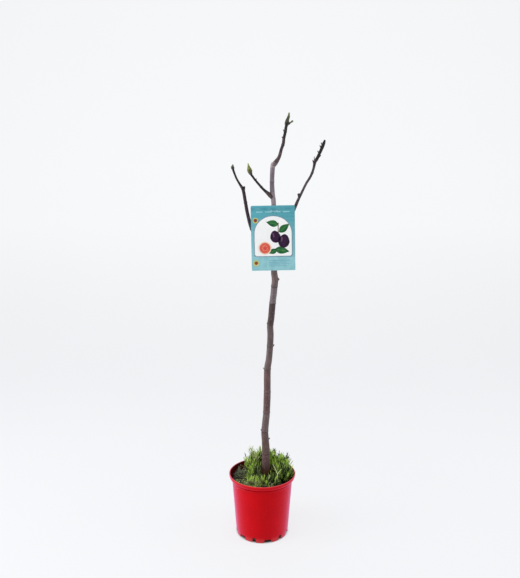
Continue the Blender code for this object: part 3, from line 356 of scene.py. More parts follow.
# Whorls up the stem and at its tip: leaves, their rise in degrees, share of their length
LOW_WHORL = (3, (36.0, 74.0), 1.0)
TOP_WHORL = (4, (60.0, 86.0), 0.8)
SPRIG_SEED = 2
NEEDLE_SHADES = 0.5
NEEDLE_WIDTH = 0.0024
NEEDLE_THICKNESS = 0.0007
NEEDLE_LENGTH = (0.013, 0.0225)
GOLDEN_ANGLE = math.pi * (3.0 - math.sqrt(5.0))
DEAD_LEAVES = 60
DEAD_LEAF_RING = (0.013, 0.0175)
DEAD_LEAF_FOOT = (0.001, 0.018)
DEAD_LEAF_LENGTH = (0.012, 0.022)
DEAD_LEAF_WIDTH = 1.2 * NEEDLE_WIDTH
DEAD_LEAF_LEAN = 0.3
DEAD_LEAF_SEED = 21
# Litter: piece, count, middle, reach, range of rises, seed
LITTER = (
    ("straw_litter", 90, (0.0, 0.0), 0.076, (-0.25, 0.75), 9),
    ("grey_litter", 80, (-0.054, 0.026), 0.03, (0.3, 1.1), 10),
)
LITTER_ROOM = 0.006
LITTER_LEVEL = (0.55, 0.95)
LITTER_LENGTH = (0.01, 0.026)
LITTER_RADIUS = 0.00045
LITTER_LIFT = 0.002
LITTER_SAG = 0.3
LITTER_TURN = 0.5

# Thinness and unevenness of the dry stems
DRY_THINNESS = (1.05, 0.66)
DRY_LUMP = (0.18, 0.004)
# Dry stems, as in the construction: node, foot, arms as points from the foot with radii
DRY_STEMS = (
    ("dry_stem_right", (0.0435, -0.044),
     (((0.0, 0.0, -0.008, 0.0012), (0.0, 0.0, 0.012, 0.0012),
       (-0.001, 0.002, 0.035, 0.0011)),
      ((-0.001, 0.002, 0.033, 0.0011), (-0.007, 0.003, 0.047, 0.001), (-0.014, 0.004, 0.061, 0.0006)),
      ((-0.001, 0.002, 0.033, 0.0011), (0.004, 0.001, 0.04, 0.001), (0.01, -0.001, 0.048, 0.0006)))),
    ("dry_stem_left", (-0.066, 0.007),
     (((0.0, 0.0, -0.008, 0.0012), (0.0, 0.0, 0.004, 0.0012),
       (-0.002, 0.003, 0.014, 0.0011)),
      ((-0.002, 0.003, 0.013, 0.0011), (-0.001, 0.008, 0.02, 0.001), (-0.002, 0.014, 0.023, 0.0006)),
      ((-0.002, 0.003, 0.013, 0.0011), (-0.005, 0.001, 0.02, 0.001), (-0.007, -0.005, 0.024, 0.0006)))),
)

# Colours in screen values, and scales that several finishes share
COLOURS = {
    "pore": (190, 174, 160), "scar": (38, 26, 28), "scale_edge": (74, 52, 34),
    # The needle foot colours are painted shade low in the tufts
    "needle_foot_dark": (3, 10, 6), "needle_foot_bright": (20, 40, 12), "needle_tip_dark": (10, 42, 24),
    "needle_tip_bright": (202, 238, 104), "needle_dry": (186, 192, 142),
    "peat": (20, 15, 13), "fibre": (66, 50, 40), "grain": (112, 92, 70), "algae": (58, 74, 40),
    "crumb_dark": (24, 19, 16), "crumb_brown": (74, 60, 48), "crumb_pale": (104, 112, 92),
    "crumb_shade": (30, 24, 20), "pot_dust": (60, 34, 30), "pot_highlight_and_wear": (226, 108, 108),
    "card_aqua": (143, 201, 208), "card_teal": (84, 164, 178), "card_wave": (150, 208, 216),
    "paper": (112, 113, 115), "paper_shade": (108, 109, 112), "paper_glow": (241, 242, 244),
    "paper_glow_high": (252, 253, 254),
}
EVEN = (1.0, 1.0, 1.0)
SPECK_SCALE = 900.0
POT_SHEEN_TINT = (0.8, 0.38, 0.84)

# Camera and studio
CAMERA_SPOT = (AXIS.x - 0.00633, -1.58, 0.9295)
CAMERA_PITCH = math.radians(82.0)
CAMERA_LENS = 36.12
PAPER_HIGH = 0.8
# Reach from the pot's axis where the paper's glow rises from none to full: a painted shadow under the pot
PAPER_SHADOW_RING = ((0.069, 0.0), (0.0765, 1.0))
FLOOR_SIDE = 6.0
FLOOR_FRONT = -4.0
BACKDROP_FOOT = 1.4
BACKDROP_BEND = 1.2
BACKDROP_TOP = 5.0
PAPER_LIGHT = 0.84
WORLD_LIGHT = 0.56
LAMP_AIM = (AXIS.x, 0.0, 0.5)
# name, place, size, power, colour
LAMPS = (
    ("left_box", (-1.9, -0.5, 1.2), (1.2, 2.4), 30.0, (1.0, 0.99, 1.0)),
    ("right_box", (1.9, -0.2, 1.1), (1.2, 2.4), 15.0, (0.96, 0.97, 1.0)),
    ("top_box", (-0.3, -1.3, 2.7), (2.0, 1.4), 28.0, (1.0, 1.0, 1.0)),
)


def tint(rgb):
    """Linear colour from a colour given as 0 to 255 in screen values."""
    return tuple((c / 255.0 / 12.92) if c <= 10 else ((c / 255.0 + 0.055) / 1.055) ** 2.4 for c in rgb)


def paint(name):
    """Linear colour from the table of colours."""
    return tint(COLOURS[name])


def smooth_step(low, high, value):
    """0 below low, 1 above high, and a smooth rise between them."""
    share = min(max((value - low) / (high - low), 0.0), 1.0)
    return share * share * (3.0 - 2.0 * share)


# Node trees

class Graph:
    """Short-hand for wiring one node tree."""

    def __init__(self, tree):
        self.tree = tree

    def add(self, kind, inputs=None, **settings):
        """A node with its settings and its inputs."""
        node = self.tree.nodes.new(kind)
        for key, value in settings.items():
            setattr(node, key, value)
        return self.feed(node, inputs or {})

    def feed(self, node, inputs):
        """Give a node's inputs their values, or link them to sockets."""
        for key, value in inputs.items():
            socket = node.inputs[key]
            if isinstance(value, bpy.types.NodeSocket):
                self.tree.links.new(value, socket)
            elif isinstance(value, tuple) and socket.type == "RGBA":
                socket.default_value = (*value[:3], 1.0)
            else:
                socket.default_value = value
        return node

    def math(self, operation, *values):
        """The result of a Math node."""
        return self.add("ShaderNodeMath", dict(enumerate(values)), operation=operation).outputs[0]

    def times(self, one, two):
        """One value times another."""
        return self.math("MULTIPLY", one, two)

    def swing(self, value, gain):
        """A noise value as a swing of either sign round 0."""
        return self.times(self.math("SUBTRACT", value, 0.5), gain)

    def mix(self, factor, one, two, blend="MIX"):
        """The colour of a Mix node."""
        inputs = {0: factor, 6: one, 7: two}
        return self.add("ShaderNodeMix", inputs, data_type="RGBA", blend_type=blend).outputs[2]

    def shaded(self, colour, light):
        """A colour made lighter or darker by a value round 1."""
        grey = self.add("ShaderNodeCombineColor", {0: light, 1: light, 2: light}).outputs[0]
        return self.mix(1.0, colour, grey, "MULTIPLY")

    def ramp(self, factor, stops):
        """The value of a colour ramp of greys, as (place, value) stops."""
        node = self.add("ShaderNodeValToRGB", {0: factor})
        for element, (place, value) in zip(node.color_ramp.elements, stops):
            element.position = place
            element.color = (value, value, value, 1.0)
        return node.outputs[0]

    def noise(self, scale, detail=2.0, roughness=0.5, stretch=EVEN):
        """The value of a Noise texture on stretched Object coordinates."""
        return self.add("ShaderNodeTexNoise", {"Vector": self.stretched(stretch), "Scale": scale,
                                               "Detail": detail, "Roughness": roughness}).outputs[0]

    def stretched(self, scale=EVEN, **more):
        """Object coordinates scaled on each axis."""
        where = self.add("ShaderNodeTexCoord").outputs["Object"]
        return self.add("ShaderNodeMapping", {"Vector": where, "Scale": scale, **more}).outputs[0]

    def bump(self, height, strength, depth, **more):
        """The normal of a Bump node."""
        inputs = {"Height": height, "Strength": strength, "Distance": depth, **more}
        return self.add("ShaderNodeBump", inputs).outputs[0]

    def relief(self, scale, strength, depth, stretch=EVEN):
        """The normal of the shared fine relief."""
        inputs = {"Scale": scale, "Strength": strength, "Depth": depth, "Stretch": stretch}
        return self.add("ShaderNodeGroup", inputs, node_tree=FINE_RELIEF).outputs["Normal"]

    def attribute(self, name, output="Fac"):
        """A value or colour stored on the mesh."""
        return self.add("ShaderNodeAttribute", attribute_name=name).outputs[output]


def shared_group(name, inputs, outputs):
    """An empty node group with named sockets: its graph, input node and output node."""
    tree = bpy.data.node_groups.new(name, "ShaderNodeTree")
    for label, kind, value in inputs:
        socket = tree.interface.new_socket(label, in_out="INPUT", socket_type=kind)
        socket.default_value = value
    for label, kind in outputs:
        tree.interface.new_socket(label, in_out="OUTPUT", socket_type=kind)
    graph = Graph(tree)
    return graph, graph.add("NodeGroupInput"), graph.add("NodeGroupOutput")


def make_mottle_group():
    """Uneven colour: a base colour that drifts to a second one in soft patches and fine specks."""
    graph, given, result = shared_group(
        "uneven_colour",
        (("Base", "NodeSocketColor", (0.5, 0.5, 0.5, 1.0)),
         ("Patch", "NodeSocketColor", (0.3, 0.3, 0.3, 1.0)),
         ("Patch Scale", "NodeSocketFloat", 60.0), ("Patch Amount", "NodeSocketFloat", 0.5),
         ("Speck Amount", "NodeSocketFloat", 0.2)),
        (("Color", "NodeSocketColor"),))
    mask = graph.ramp(graph.noise(given.outputs["Patch Scale"], 3.0), ((0.38, 0.0), (0.64, 1.0)))
    amount = graph.times(mask, given.outputs["Patch Amount"])
    colour = graph.mix(amount, given.outputs["Base"], given.outputs["Patch"])
    specks = graph.swing(graph.noise(SPECK_SCALE, 1.0), given.outputs["Speck Amount"])
    light = graph.math("ADD", 1.0, graph.times(specks, 2.0))
    graph.feed(result, {"Color": graph.shaded(colour, light)})
    return graph.tree


def make_grain_group():
    """Fine relief of a surface: a normal from a noise stretched along the surface's grain."""
    graph, given, result = shared_group(
        "fine_relief",
        (("Scale", "NodeSocketFloat", 400.0), ("Stretch", "NodeSocketVector", EVEN),
         ("Strength", "NodeSocketFloat", 0.3), ("Depth", "NodeSocketFloat", 0.0003)),
        (("Normal", "NodeSocketVector"),))
    grain = graph.noise(given.outputs["Scale"], 5.0, 0.62, given.outputs["Stretch"])
    graph.feed(result, {"Normal": graph.bump(grain, given.outputs["Strength"], given.outputs["Depth"])})
    return graph.tree


UNEVEN_COLOUR = make_mottle_group()
FINE_RELIEF = make_grain_group()


def new_material(name):
    """A material with its graph and its Principled shader."""
    material = bpy.data.materials.new(name)
    material.use_nodes = True
    return material, Graph(material.node_tree), material.node_tree.nodes["Principled BSDF"]


def plain_finish(name, base, patch, roughness, patch_scale=60.0, patch_amount=0.5, speck_amount=0.2,
                 grain=400.0, depth=0.0003, strength=0.3, stretch=EVEN, coat=0.0):
    """A finish with uneven colour and fine relief from the shared groups."""
    material, graph, shader = new_material(name)
    mottle = {"Base": tint(base), "Patch": tint(patch), "Patch Scale": patch_scale,
              "Patch Amount": patch_amount, "Speck Amount": speck_amount}
    colour = graph.add("ShaderNodeGroup", mottle, node_tree=UNEVEN_COLOUR).outputs["Color"]
    graph.feed(shader, {"Base Color": colour, "Normal": graph.relief(grain, strength, depth, stretch),
                        "Roughness": roughness, "Coat Weight": coat})
    return material


def bark_finish():
    """Smooth young bark: tones stored on the mesh, streaks, pale pores and dark lines at the scars."""
    material, graph, shader = new_material("fig_bark")
    streak = graph.noise(760.0, 5.0, 0.65, (1.0, 1.0, 0.12))
    patch = graph.noise(95.0, 3.0, 0.55, (1.0, 1.0, 0.45))
    drift = graph.math("ADD", graph.swing(streak, 1.25), graph.swing(patch, 1.15))
    light = graph.math("ADD", 1.0, drift)
    colour = graph.shaded(graph.attribute("tone", "Color"), light)
    pores = graph.add("ShaderNodeTexVoronoi", {"Vector": graph.stretched((1.0, 1.0, 0.55)), "Scale": 330.0,
                                               "Randomness": 1.0}).outputs["Distance"]
    few = graph.ramp(graph.noise(210.0, 0.0), ((0.44, 0.0), (0.56, 1.0)))
    spots = graph.times(graph.ramp(pores, ((0.14, 1.0), (0.26, 0.0))), few)
    colour = graph.mix(graph.times(spots, 0.55), colour, paint("pore"))
    colour = graph.mix(graph.times(graph.attribute("scar"), 0.8), colour, paint("scar"))
    pits = graph.bump(spots, 0.6, 0.0003, Normal=graph.relief(520.0, 0.55, 0.0005, (1.0, 1.0, 0.28)))
    shine = graph.math("ADD", 0.5, graph.times(patch, 0.3))
    graph.feed(shader, {"Base Color": colour, "Normal": pits, "Roughness": shine,
                        "Specular IOR Level": 0.35})
    return material


def bud_finish(name, young, old, aged):
    """Bud scales: young green towards the tip, older and browner at the foot and along scale edges."""
    material, graph, shader = new_material(name)
    age = graph.math("SUBTRACT", graph.attribute("tip"), aged)
    vary = graph.noise(330.0, 4.0, 0.5, (1.0, 1.0, 0.5))
    share = graph.ramp(graph.math("ADD", age, graph.swing(vary, 1.6)), ((0.05, 0.0), (0.7, 1.0)))
    colour = graph.mix(share, tint(old), tint(young))
    colour = graph.mix(graph.times(graph.attribute("edge"), 0.7), colour, paint("scale_edge"))
    graph.feed(shader, {"Base Color": colour, "Normal": graph.relief(900.0, 0.4, 0.0002, (1.0, 1.0, 0.3)),
                        "Roughness": 0.42})
    return material


def needle_finish():
    """Needle leaves: painted shade low down, and at the tips from deep blue-green on stems painted as shaded
    to bright yellow-green on stems painted as lit.
    """
    material, graph, shader = new_material("needle_leaves")
    shade = graph.attribute("shade")
    low = graph.mix(shade, paint("needle_foot_dark"), paint("needle_foot_bright"))
    high = graph.mix(shade, paint("needle_tip_dark"), paint("needle_tip_bright"))
    # Painted shade: darker where the tip value is small, low down and near the stem
    colour = graph.mix(graph.ramp(graph.attribute("tip"), ((0.22, 0.0), (0.85, 1.0))), low, high)
    colour = graph.mix(graph.attribute("straw"), colour, paint("needle_dry"))
    shine = graph.math("ADD", 0.36, graph.times(graph.noise(1400.0), 0.25))
    graph.feed(shader, {"Base Color": colour, "Roughness": shine, "Specular IOR Level": 0.35})
    return material


# Finishes that several pieces share
ALONG = (1.0, 1.0, 0.3)
NEEDLES = needle_finish()
STRAW = plain_finish("dry_straw", (186, 192, 136), (140, 140, 88), 0.6, patch_scale=180.0, patch_amount=0.8,
                     grain=900.0, stretch=ALONG)
PALE_STEM = plain_finish("pale_stem", (216, 228, 164), (190, 204, 134), 0.5, patch_scale=160.0, grain=900.0,
                         depth=0.0002, stretch=ALONG)
GREY_STEM = plain_finish("grey_stem", (122, 134, 106), (84, 92, 70), 0.6, patch_scale=160.0, grain=900.0,
                         depth=0.0002, stretch=ALONG)
DEAD_LEAF = plain_finish("dead_leaf", (124, 78, 48), (96, 92, 44), 0.7, patch_scale=240.0, patch_amount=0.9,
                         grain=900.0)


def soil_finish():
    """Dark damp potting soil with brown fibres, pale grains and a bloom of green algae."""
    material, graph, shader = new_material("potting_soil")
    coarse = graph.noise(240.0, 6.0, 0.65)
    fine = graph.noise(1500.0, 4.0, 0.6)
    green = graph.noise(60.0, 3.0, 0.6)
    colour = graph.mix(graph.ramp(coarse, ((0.35, 0.0), (0.72, 1.0))), paint("peat"), paint("fibre"))
    colour = graph.mix(graph.ramp(fine, ((0.62, 0.0), (0.74, 0.8))), colour, paint("grain"))
    colour = graph.mix(graph.ramp(green, ((0.52, 0.0), (0.68, 0.55))), colour, paint("algae"))
    graph.feed(shader, {"Base Color": colour, "Normal": graph.bump(fine, 0.9, 0.0008), "Roughness": 0.92})
    return material


def crumb_finish():
    """Loose crumbs: each with its own tone, from black peat to grey-green and straw brown."""
    material, graph, shader = new_material("soil_crumbs")
    shade = graph.attribute("shade")
    fine = graph.noise(1800.0, 4.0, 0.6)
    brown = graph.ramp(shade, ((0.15, 0.0), (0.55, 1.0)))
    colour = graph.mix(brown, paint("crumb_dark"), paint("crumb_brown"))
    colour = graph.mix(graph.ramp(shade, ((0.72, 0.0), (0.9, 1.0))), colour, paint("crumb_pale"))
    colour = graph.mix(graph.times(fine, 0.5), colour, paint("crumb_shade"))
    graph.feed(shader, {"Base Color": colour, "Normal": graph.bump(fine, 0.8, 0.0005), "Roughness": 0.9})
    return material


def pot_finish(name, reds, sheen, gloss):
    """Red moulded plastic with faint flow marks, a painted highlight along the lip, a rubbed foot and soil
    dust inside the rim.
    """
    material, graph, shader = new_material(name)
    plain, cloudy, streaked = (tint(red) for red in reds)
    flow = graph.noise(120.0, 3.0, 0.6, (1.0, 1.0, 0.06))
    cloud = graph.ramp(graph.noise(26.0, 3.0), ((0.35, 0.0), (0.7, 1.0)))
    marks = graph.times(graph.ramp(flow, ((0.55, 0.0), (0.75, 1.0))), 0.25)
    spots = graph.ramp(graph.noise(420.0, 5.0, 0.7), ((0.46, 0.0), (0.66, 1.0)))
    dirt = graph.times(graph.attribute("dust"), spots)
    colour = graph.mix(marks, graph.mix(cloud, plain, cloudy), streaked)
    colour = graph.mix(dirt, colour, paint("pot_dust"))
    # Painted highlight: pale pink along the top of the lip; the same colour marks the rubbed edge of the foot
    colour = graph.mix(graph.times(graph.attribute("lip_highlight_and_foot_wear"), 0.45), colour, paint("pot_highlight_and_wear"))
    scuff = graph.math("ADD", 0.2, graph.times(graph.noise(900.0, 4.0, 0.7, (1.0, 1.0, 0.25)), 0.16))
    shine = graph.math("ADD", scuff, graph.times(dirt, 0.5))
    graph.feed(shader, {"Base Color": colour, "Normal": graph.bump(flow, 0.12, 0.0006), "Roughness": shine,
                        "Specular IOR Level": gloss, "Sheen Weight": sheen, "Sheen Roughness": 0.36,
                        "Sheen Tint": POT_SHEEN_TINT})
    return material


def card_finish():
    """Laminated card: teal at the head fading to aqua at the foot, with soft wave lines."""
    material, graph, shader = new_material("card_print")
    height = graph.add("ShaderNodeSeparateXYZ", {0: graph.stretched()}).outputs[2]
    low = LABEL_CENTRE[1] - LABEL_SIZE[1] / 2
    share = graph.math("DIVIDE", graph.math("SUBTRACT", height, low), LABEL_SIZE[1])
    wave = graph.add("ShaderNodeTexWave", {"Vector": graph.stretched((0.35, 1.0, 1.0)), "Scale": 26.0,
                                           "Distortion": 3.0, "Detail": 1.5}, bands_direction="Z").outputs[1]
    colour = graph.mix(graph.ramp(share, ((0.1, 0.0), (0.86, 1.0))), paint("card_aqua"), paint("card_teal"))
    colour = graph.mix(graph.times(wave, 0.1), colour, paint("card_wave"))
    graph.feed(shader, {"Base Color": colour, "Normal": graph.bump(graph.noise(1600.0), 0.08, 0.0002),
                        "Roughness": 0.28, "Coat Weight": 0.4, "Coat Roughness": 0.15})
    return material


# Mesh helpers

def linked(name, data):
    """A new object in the scene."""
    made = bpy.data.objects.new(name, data)
    bpy.context.scene.collection.objects.link(made)
    return made


def mesh_of(name, shape):
    """A mesh from a bmesh, which is freed."""
    mesh = bpy.data.meshes.new(name)
    shape.to_mesh(mesh)
    shape.free()
    return mesh


def add_shape(whole, part):
    """Copy a bmesh into another one, and free it."""
    mesh = mesh_of("part", part)
    whole.from_mesh(mesh)
    bpy.data.meshes.remove(mesh)


def piece_from(name, shape, materials, sharp=None):
    """A finished object from a bmesh, at the origin."""
    return piece_from_mesh(name, mesh_of(name, shape), materials, sharp)


def piece_from_mesh(name, mesh, materials, sharp=None):
    """A finished object from a mesh, smooth but for edges that bend by more than sharp degrees."""
    mesh.materials.clear()
    for material in materials:
        mesh.materials.append(material)
    if sharp is not None:
        mesh.shade_smooth()
        if sharp < 180.0:
            mesh.set_sharp_from_angle(angle=math.radians(sharp))
    return linked(name, mesh)


def settle(piece, slot_name, *nodes):
    """Fix the piece to the plant's one body and hide the nodes it stands for; the slot name is not used."""
    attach(piece, "root")
    if nodes:
        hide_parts(*nodes)
    return piece


def store(mesh, name, values):
    """A number for every vertex of a mesh."""
    mesh.attributes.new(name, "FLOAT", "POINT").data.foreach_set("value", values)


def verts_in(items):
    """The vertices among the items that a bmesh operator made."""
    return [item for item in items if isinstance(item, bmesh.types.BMVert)]


def heading(compass, rise):
    """The direction at a compass angle and a rise over the level."""
    return Vector((math.cos(compass) * math.cos(rise), math.sin(compass) * math.cos(rise), math.sin(rise)))


def around(centre, radius, angle):
    """The place on a circle round a centre."""
    return centre[0] + radius * math.cos(angle), centre[1] + radius * math.sin(angle)


def smooth_line(points, step):
    """Close points with radii along a smooth curve through points given from the pot's axis."""
    spots = [Vector(p[:3]) + AXIS for p in points]
    radii = [p[3] for p in points]
    line = []
    for index in range(len(spots) - 1):
        before = spots[max(index - 1, 0)]
        start = spots[index]
        end = spots[index + 1]
        after = spots[min(index + 2, len(spots) - 1)]
        count = max(1, round((end - start).length / step))
        for number in range(count):
            share = number / count
            square = share * share
            cube = square * share
            spot = 0.5 * (2.0 * start + (end - before) * share
                          + (2.0 * before - 5.0 * start + 4.0 * end - after) * square
                          + (3.0 * start - before - 3.0 * end + after) * cube)
            line.append((spot, radii[index] + (radii[index + 1] - radii[index]) * share))
    line.append((spots[-1], radii[-1]))
    return line


def sweep(line, sides, radius_at=None):
    """A closed stem: one ring extruded from point to point, each vertex then set at its radius."""
    spots = [spot for spot, _ in line]
    last = len(spots) - 1
    shape = bmesh.new()
    turn = shape.verts.layers.float.new("turn")
    step = shape.verts.layers.float.new("step")
    for vertex in bmesh.ops.create_circle(shape, cap_ends=False, segments=sides, radius=1.0)["verts"]:
        vertex[turn] = math.atan2(vertex.co.y, vertex.co.x)
    ring = list(shape.edges)
    for number in range(1, last + 1):
        made = bmesh.ops.extrude_edge_only(shape, edges=ring)["geom"]
        fresh = set(verts_in(made))
        ring = [item for item in made if isinstance(item, bmesh.types.BMEdge) and set(item.verts) <= fresh]
        for vertex in fresh:
            vertex[step] = number
    across = None
    frames = []
    for number in range(last + 1):
        way = (spots[min(number + 1, last)] - spots[max(number - 1, 0)]).normalized()
        across = way.orthogonal() if across is None else across - way * across.dot(way)
        across.normalize()
        frames.append((across.copy(), way.cross(across)))
    for vertex in shape.verts:
        number = round(vertex[step])
        angle = vertex[turn]
        one, two = frames[number]
        out = one * math.cos(angle) + two * math.sin(angle)
        radius = line[number][1] if radius_at is None else radius_at(number, out)
        vertex.co = spots[number] + out * radius
    bmesh.ops.holes_fill(shape, edges=[edge for edge in shape.edges if edge.is_boundary], sides=0)
    bmesh.ops.recalc_face_normals(shape, faces=shape.faces)
    return shape


def turned(profile, steps):
    """A closed body turned round the upright axis from its half section."""
    shape = bmesh.new()
    ring = [shape.verts.new((radius, 0.0, height)) for radius, height in profile]
    edges = [shape.edges.new(pair) for pair in zip(ring, ring[1:])]
    bmesh.ops.spin(shape, geom=ring + edges, cent=(0.0, 0.0, 0.0), axis=(0.0, 0.0, 1.0), dvec=(0.0, 0.0, 0.0),
                   angle=math.tau, steps=steps, use_merge=True, use_duplicate=False)
    bmesh.ops.remove_doubles(shape, verts=shape.verts, dist=1e-6)
    bmesh.ops.recalc_face_normals(shape, faces=shape.faces)
    return shape


def combined(name, shapes, operation="UNION"):
    """One mesh from closed bmeshes by a Boolean: all of them joined, or the first less the others."""
    rest = bpy.data.collections.new(name + "_parts")
    bpy.context.scene.collection.children.link(rest)
    pieces = [bpy.data.objects.new(name, mesh_of(name, shape)) for shape in shapes]
    bpy.context.scene.collection.objects.link(pieces[0])
    for piece in pieces[1:]:
        rest.objects.link(piece)
    boolean = pieces[0].modifiers.new("boolean", "BOOLEAN")
    boolean.operation = operation
    boolean.operand_type = "COLLECTION"
    boolean.collection = rest
    boolean.solver = "MANIFOLD"
    bpy.context.view_layer.update()
    mesh = bpy.data.meshes.new_from_object(pieces[0].evaluated_get(bpy.context.evaluated_depsgraph_get()))
    for piece in pieces:
        bpy.data.meshes.remove(piece.data)
    bpy.data.collections.remove(rest)
    mesh.name = name
    return mesh


# Tree

def stem_radius(line, rings, foot_flare):
    """Radius rule of a stem: scar rings, a flared foot, slow lumps and fine ridges."""
    def radius_at(number, out):
        """The radius at a point of the line, in the direction out from it."""
        spot, radius = line[number]
        for height, lift in rings:
            off = (spot.z - height) / RING_WIDTH
            radius += lift * (math.exp(-off ** 2) - GROOVE[0] * math.exp(-(off + GROOVE[1]) ** 2))
        if foot_flare:
            gone = (spot - line[0][0]).length - COLLAR_FLARE[2]
            radius *= 1.0 + COLLAR_FLARE[0] * math.exp(-(max(gone, 0.0) / COLLAR_FLARE[1]) ** 2)
        where = Vector((out.x * radius, out.y * radius, spot.z * BARK_GRAIN))
        radius *= 1.0 + BARK_LUMP[0] * noise.noise(where / BARK_LUMP[1])
        return radius * (1.0 + BARK_RIDGE[0] * noise.noise(where / BARK_RIDGE[1]))
    return radius_at


def bud_shape(foot, way, length, foot_radius, end_radius):
    """A side bud, plump and pointed, or a short stub with a cut end."""
    line = []
    for number in range(SIDE_BUD_STEPS + 1):
        share = number / SIDE_BUD_STEPS
        if end_radius > STUB_END:
            radius = foot_radius + (end_radius - foot_radius) * share
            radius *= 1.0 - CUT_EDGE[1] * smooth_step(CUT_EDGE[0], 1.0, share)
        else:
            radius = foot_radius * (1.0 - SIDE_BUD_TAPER[0] * share)
            radius *= math.sqrt(max(1.0 - share ** SIDE_BUD_TAPER[1], 0.004))
            wave = math.sin(SIDE_BUD_WAVE[1] * math.pi * share) * (1.0 - share)
            radius += SIDE_BUD_WAVE[0] * foot_radius * wave
        bend = Vector((0.0, 0.0, SIDE_BUD_BEND * length * share * share))
        line.append((foot + way * length * share + bend, max(radius, THINNEST)))
    return sweep(line, SIDE_BUD_STEPS)


def tree_shapes():
    """The closed bodies of the tree, and the points of their centre lines with what the bark needs."""
    shapes = []
    spots = []
    for name, points, rings, stubs, tones, sides, step in STEMS:
        line = smooth_line(points, step)
        shapes.append(sweep(line, sides, stem_radius(line, rings, name != "trunk")))
        spots += [(spot, radius, rings, tones) for spot, radius in line]
        for height, compass, rise, length, foot, end in stubs:
            centre = min((spot for spot, _ in line), key=lambda spot: abs(spot.z - height))
            way = heading(math.radians(compass), math.radians(rise))
            shapes.append(bud_shape(centre, way, length * SIDE_BUD_STRETCH, foot, end))
    shapes.append(sweep(smooth_line(SPIKE, 0.002), 10))
    return shapes, spots


def colour_bark(mesh, spots):
    """Store the bark's tone and its scar lines on the tree, by the nearest centre line."""
    tree = kdtree.KDTree(len(spots))
    for number, (spot, _, _, _) in enumerate(spots):
        tree.insert(spot, number)
    tree.balance()
    colours = []
    scars = []
    below, width, full = SCAR_LINE
    for vertex in mesh.vertices:
        _, number, away = tree.find(vertex.co)
        _, radius, rings, tones = spots[number]
        height = vertex.co.z + TONE_WOBBLE[0] * noise.noise(vertex.co / TONE_WOBBLE[1])
        out = smooth_step(radius + BUD_DARK[0], radius + BUD_DARK[1], away)
        colours += [*(bark_tone(tones, height) * (1.0 - BUD_DARK[2] * out)), 1.0]
        scars.append(max(math.exp(-((height - at + below) / width) ** 2) * min(lift / full, 1.0)
                         for at, lift in rings))
    mesh.attributes.new("tone", "FLOAT_COLOR", "POINT").data.foreach_set("color", colours)
    store(mesh, "scar", scars)


def make_tree():
    """Trunk, leader, branches, side shoot and their buds, joined in one bark-covered piece."""
    shapes, spots = tree_shapes()
    mesh = combined("fig_tree", shapes)
    colour_bark(mesh, spots)
    settle(piece_from_mesh("fig_tree", mesh, [bark_finish()], BARK_SHARP), "bark", "tree")


def bark_tone(tones, height):
    """Bark colour at a height, with a short blend at the end of each stretch."""
    before, after = TONE_BLEND
    colour = Vector(tint(TONES[tones[0][1]]))
    for (end, _), (_, name) in zip(tones, tones[1:]):
        colour = colour.lerp(Vector(tint(TONES[name])), smooth_step(end - before, end + after, height))
    return colour


# Buds

def scale_bud(points):
    """A green bud whose scales wrap round it, their edges standing out a little."""
    line = smooth_line(points, BUD_STEP)
    last = len(line) - 1

    def past_edges(number, out):
        """How far a place is past the edge of each scale."""
        angle = math.atan2(out.y, out.x)
        return [number / last - height - SCALE_PEAK * abs(math.cos((angle - turn) / 2.0))
                for height, turn in SCALE_EDGES]

    def radius_at(number, out):
        """Radius rule of the bud: slightly oval, with a step at each scale's edge."""
        radius = line[number][1] * (1.0 + BUD_OVAL * math.cos(2.0 * math.atan2(out.y, out.x)))
        lift = sum(smooth_step(0.0, SCALE_RISE, -past) for past in past_edges(number, out))
        fade = 1.0 - smooth_step(0.8, 1.0, number / last)
        return max(radius + SCALE_LIFT * (lift - 1.6) * fade * radius / SCALE_FULL, BUD_STEP)

    shape = sweep(line, BUD_SIDES, radius_at)
    tip = shape.verts.layers.float.new("tip")
    edge = shape.verts.layers.float.new("edge")
    step = shape.verts.layers.float["step"]
    for vertex in shape.verts:
        number = round(vertex[step])
        out = (vertex.co - line[number][0]).normalized()
        vertex[tip] = number / last
        vertex[edge] = max(math.exp(-((past + SCALE_LINE[0]) / SCALE_LINE[1]) ** 2)
                           for past in past_edges(number, out))
    return shape


def sunk(points):
    """Bud points with one more, so that the lowest scale holds the twig's end."""
    first = Vector(points[0][:3])
    way = (first - Vector(points[1][:3])).normalized()
    return ((*(first + way * BUD_SINK), points[0][3]), *points)


def make_buds():
    """The swelling buds on the leader, the side shoot and the left branch."""
    for node, lines, young, old, aged, slot_name in BUDS:
        whole = bmesh.new()
        for line in lines:
            add_shape(whole, scale_bud(sunk(line)))
        finish = bud_finish(node + "_scales", young, old, aged)
        settle(piece_from("fine_" + node, whole, [finish], BUD_SHARP), slot_name, node)


# Pot

def wall_radius(height):
    """Outer radius of the pot's plain wall at a height."""
    return WALL_FOOT_RADIUS + (WALL_TOP_RADIUS - WALL_FOOT_RADIUS) * height / (POT_HEIGHT - COLLAR_FOOT)


def arc(centre, radius, start, end, steps):
    """Points on an arc in the profile plane."""
    return [around(centre, radius, start + (end - start) * n / steps) for n in range(steps + 1)]


def rounded(points, steps=5):
    """Points with each inner corner turned into a short curve."""
    line = [points[0]]
    for before, here, after in zip(points, points[1:], points[2:]):
        for number in range(1, steps):
            share = number / steps
            one = [b + (h - b) * (1.0 - CORNER_SHARE + CORNER_SHARE * share) for b, h in zip(before, here)]
            two = [h + (a - h) * CORNER_SHARE * share for h, a in zip(here, after)]
            line.append(tuple(o + (t - o) * share for o, t in zip(one, two)))
    line.append(points[-1])
    return line


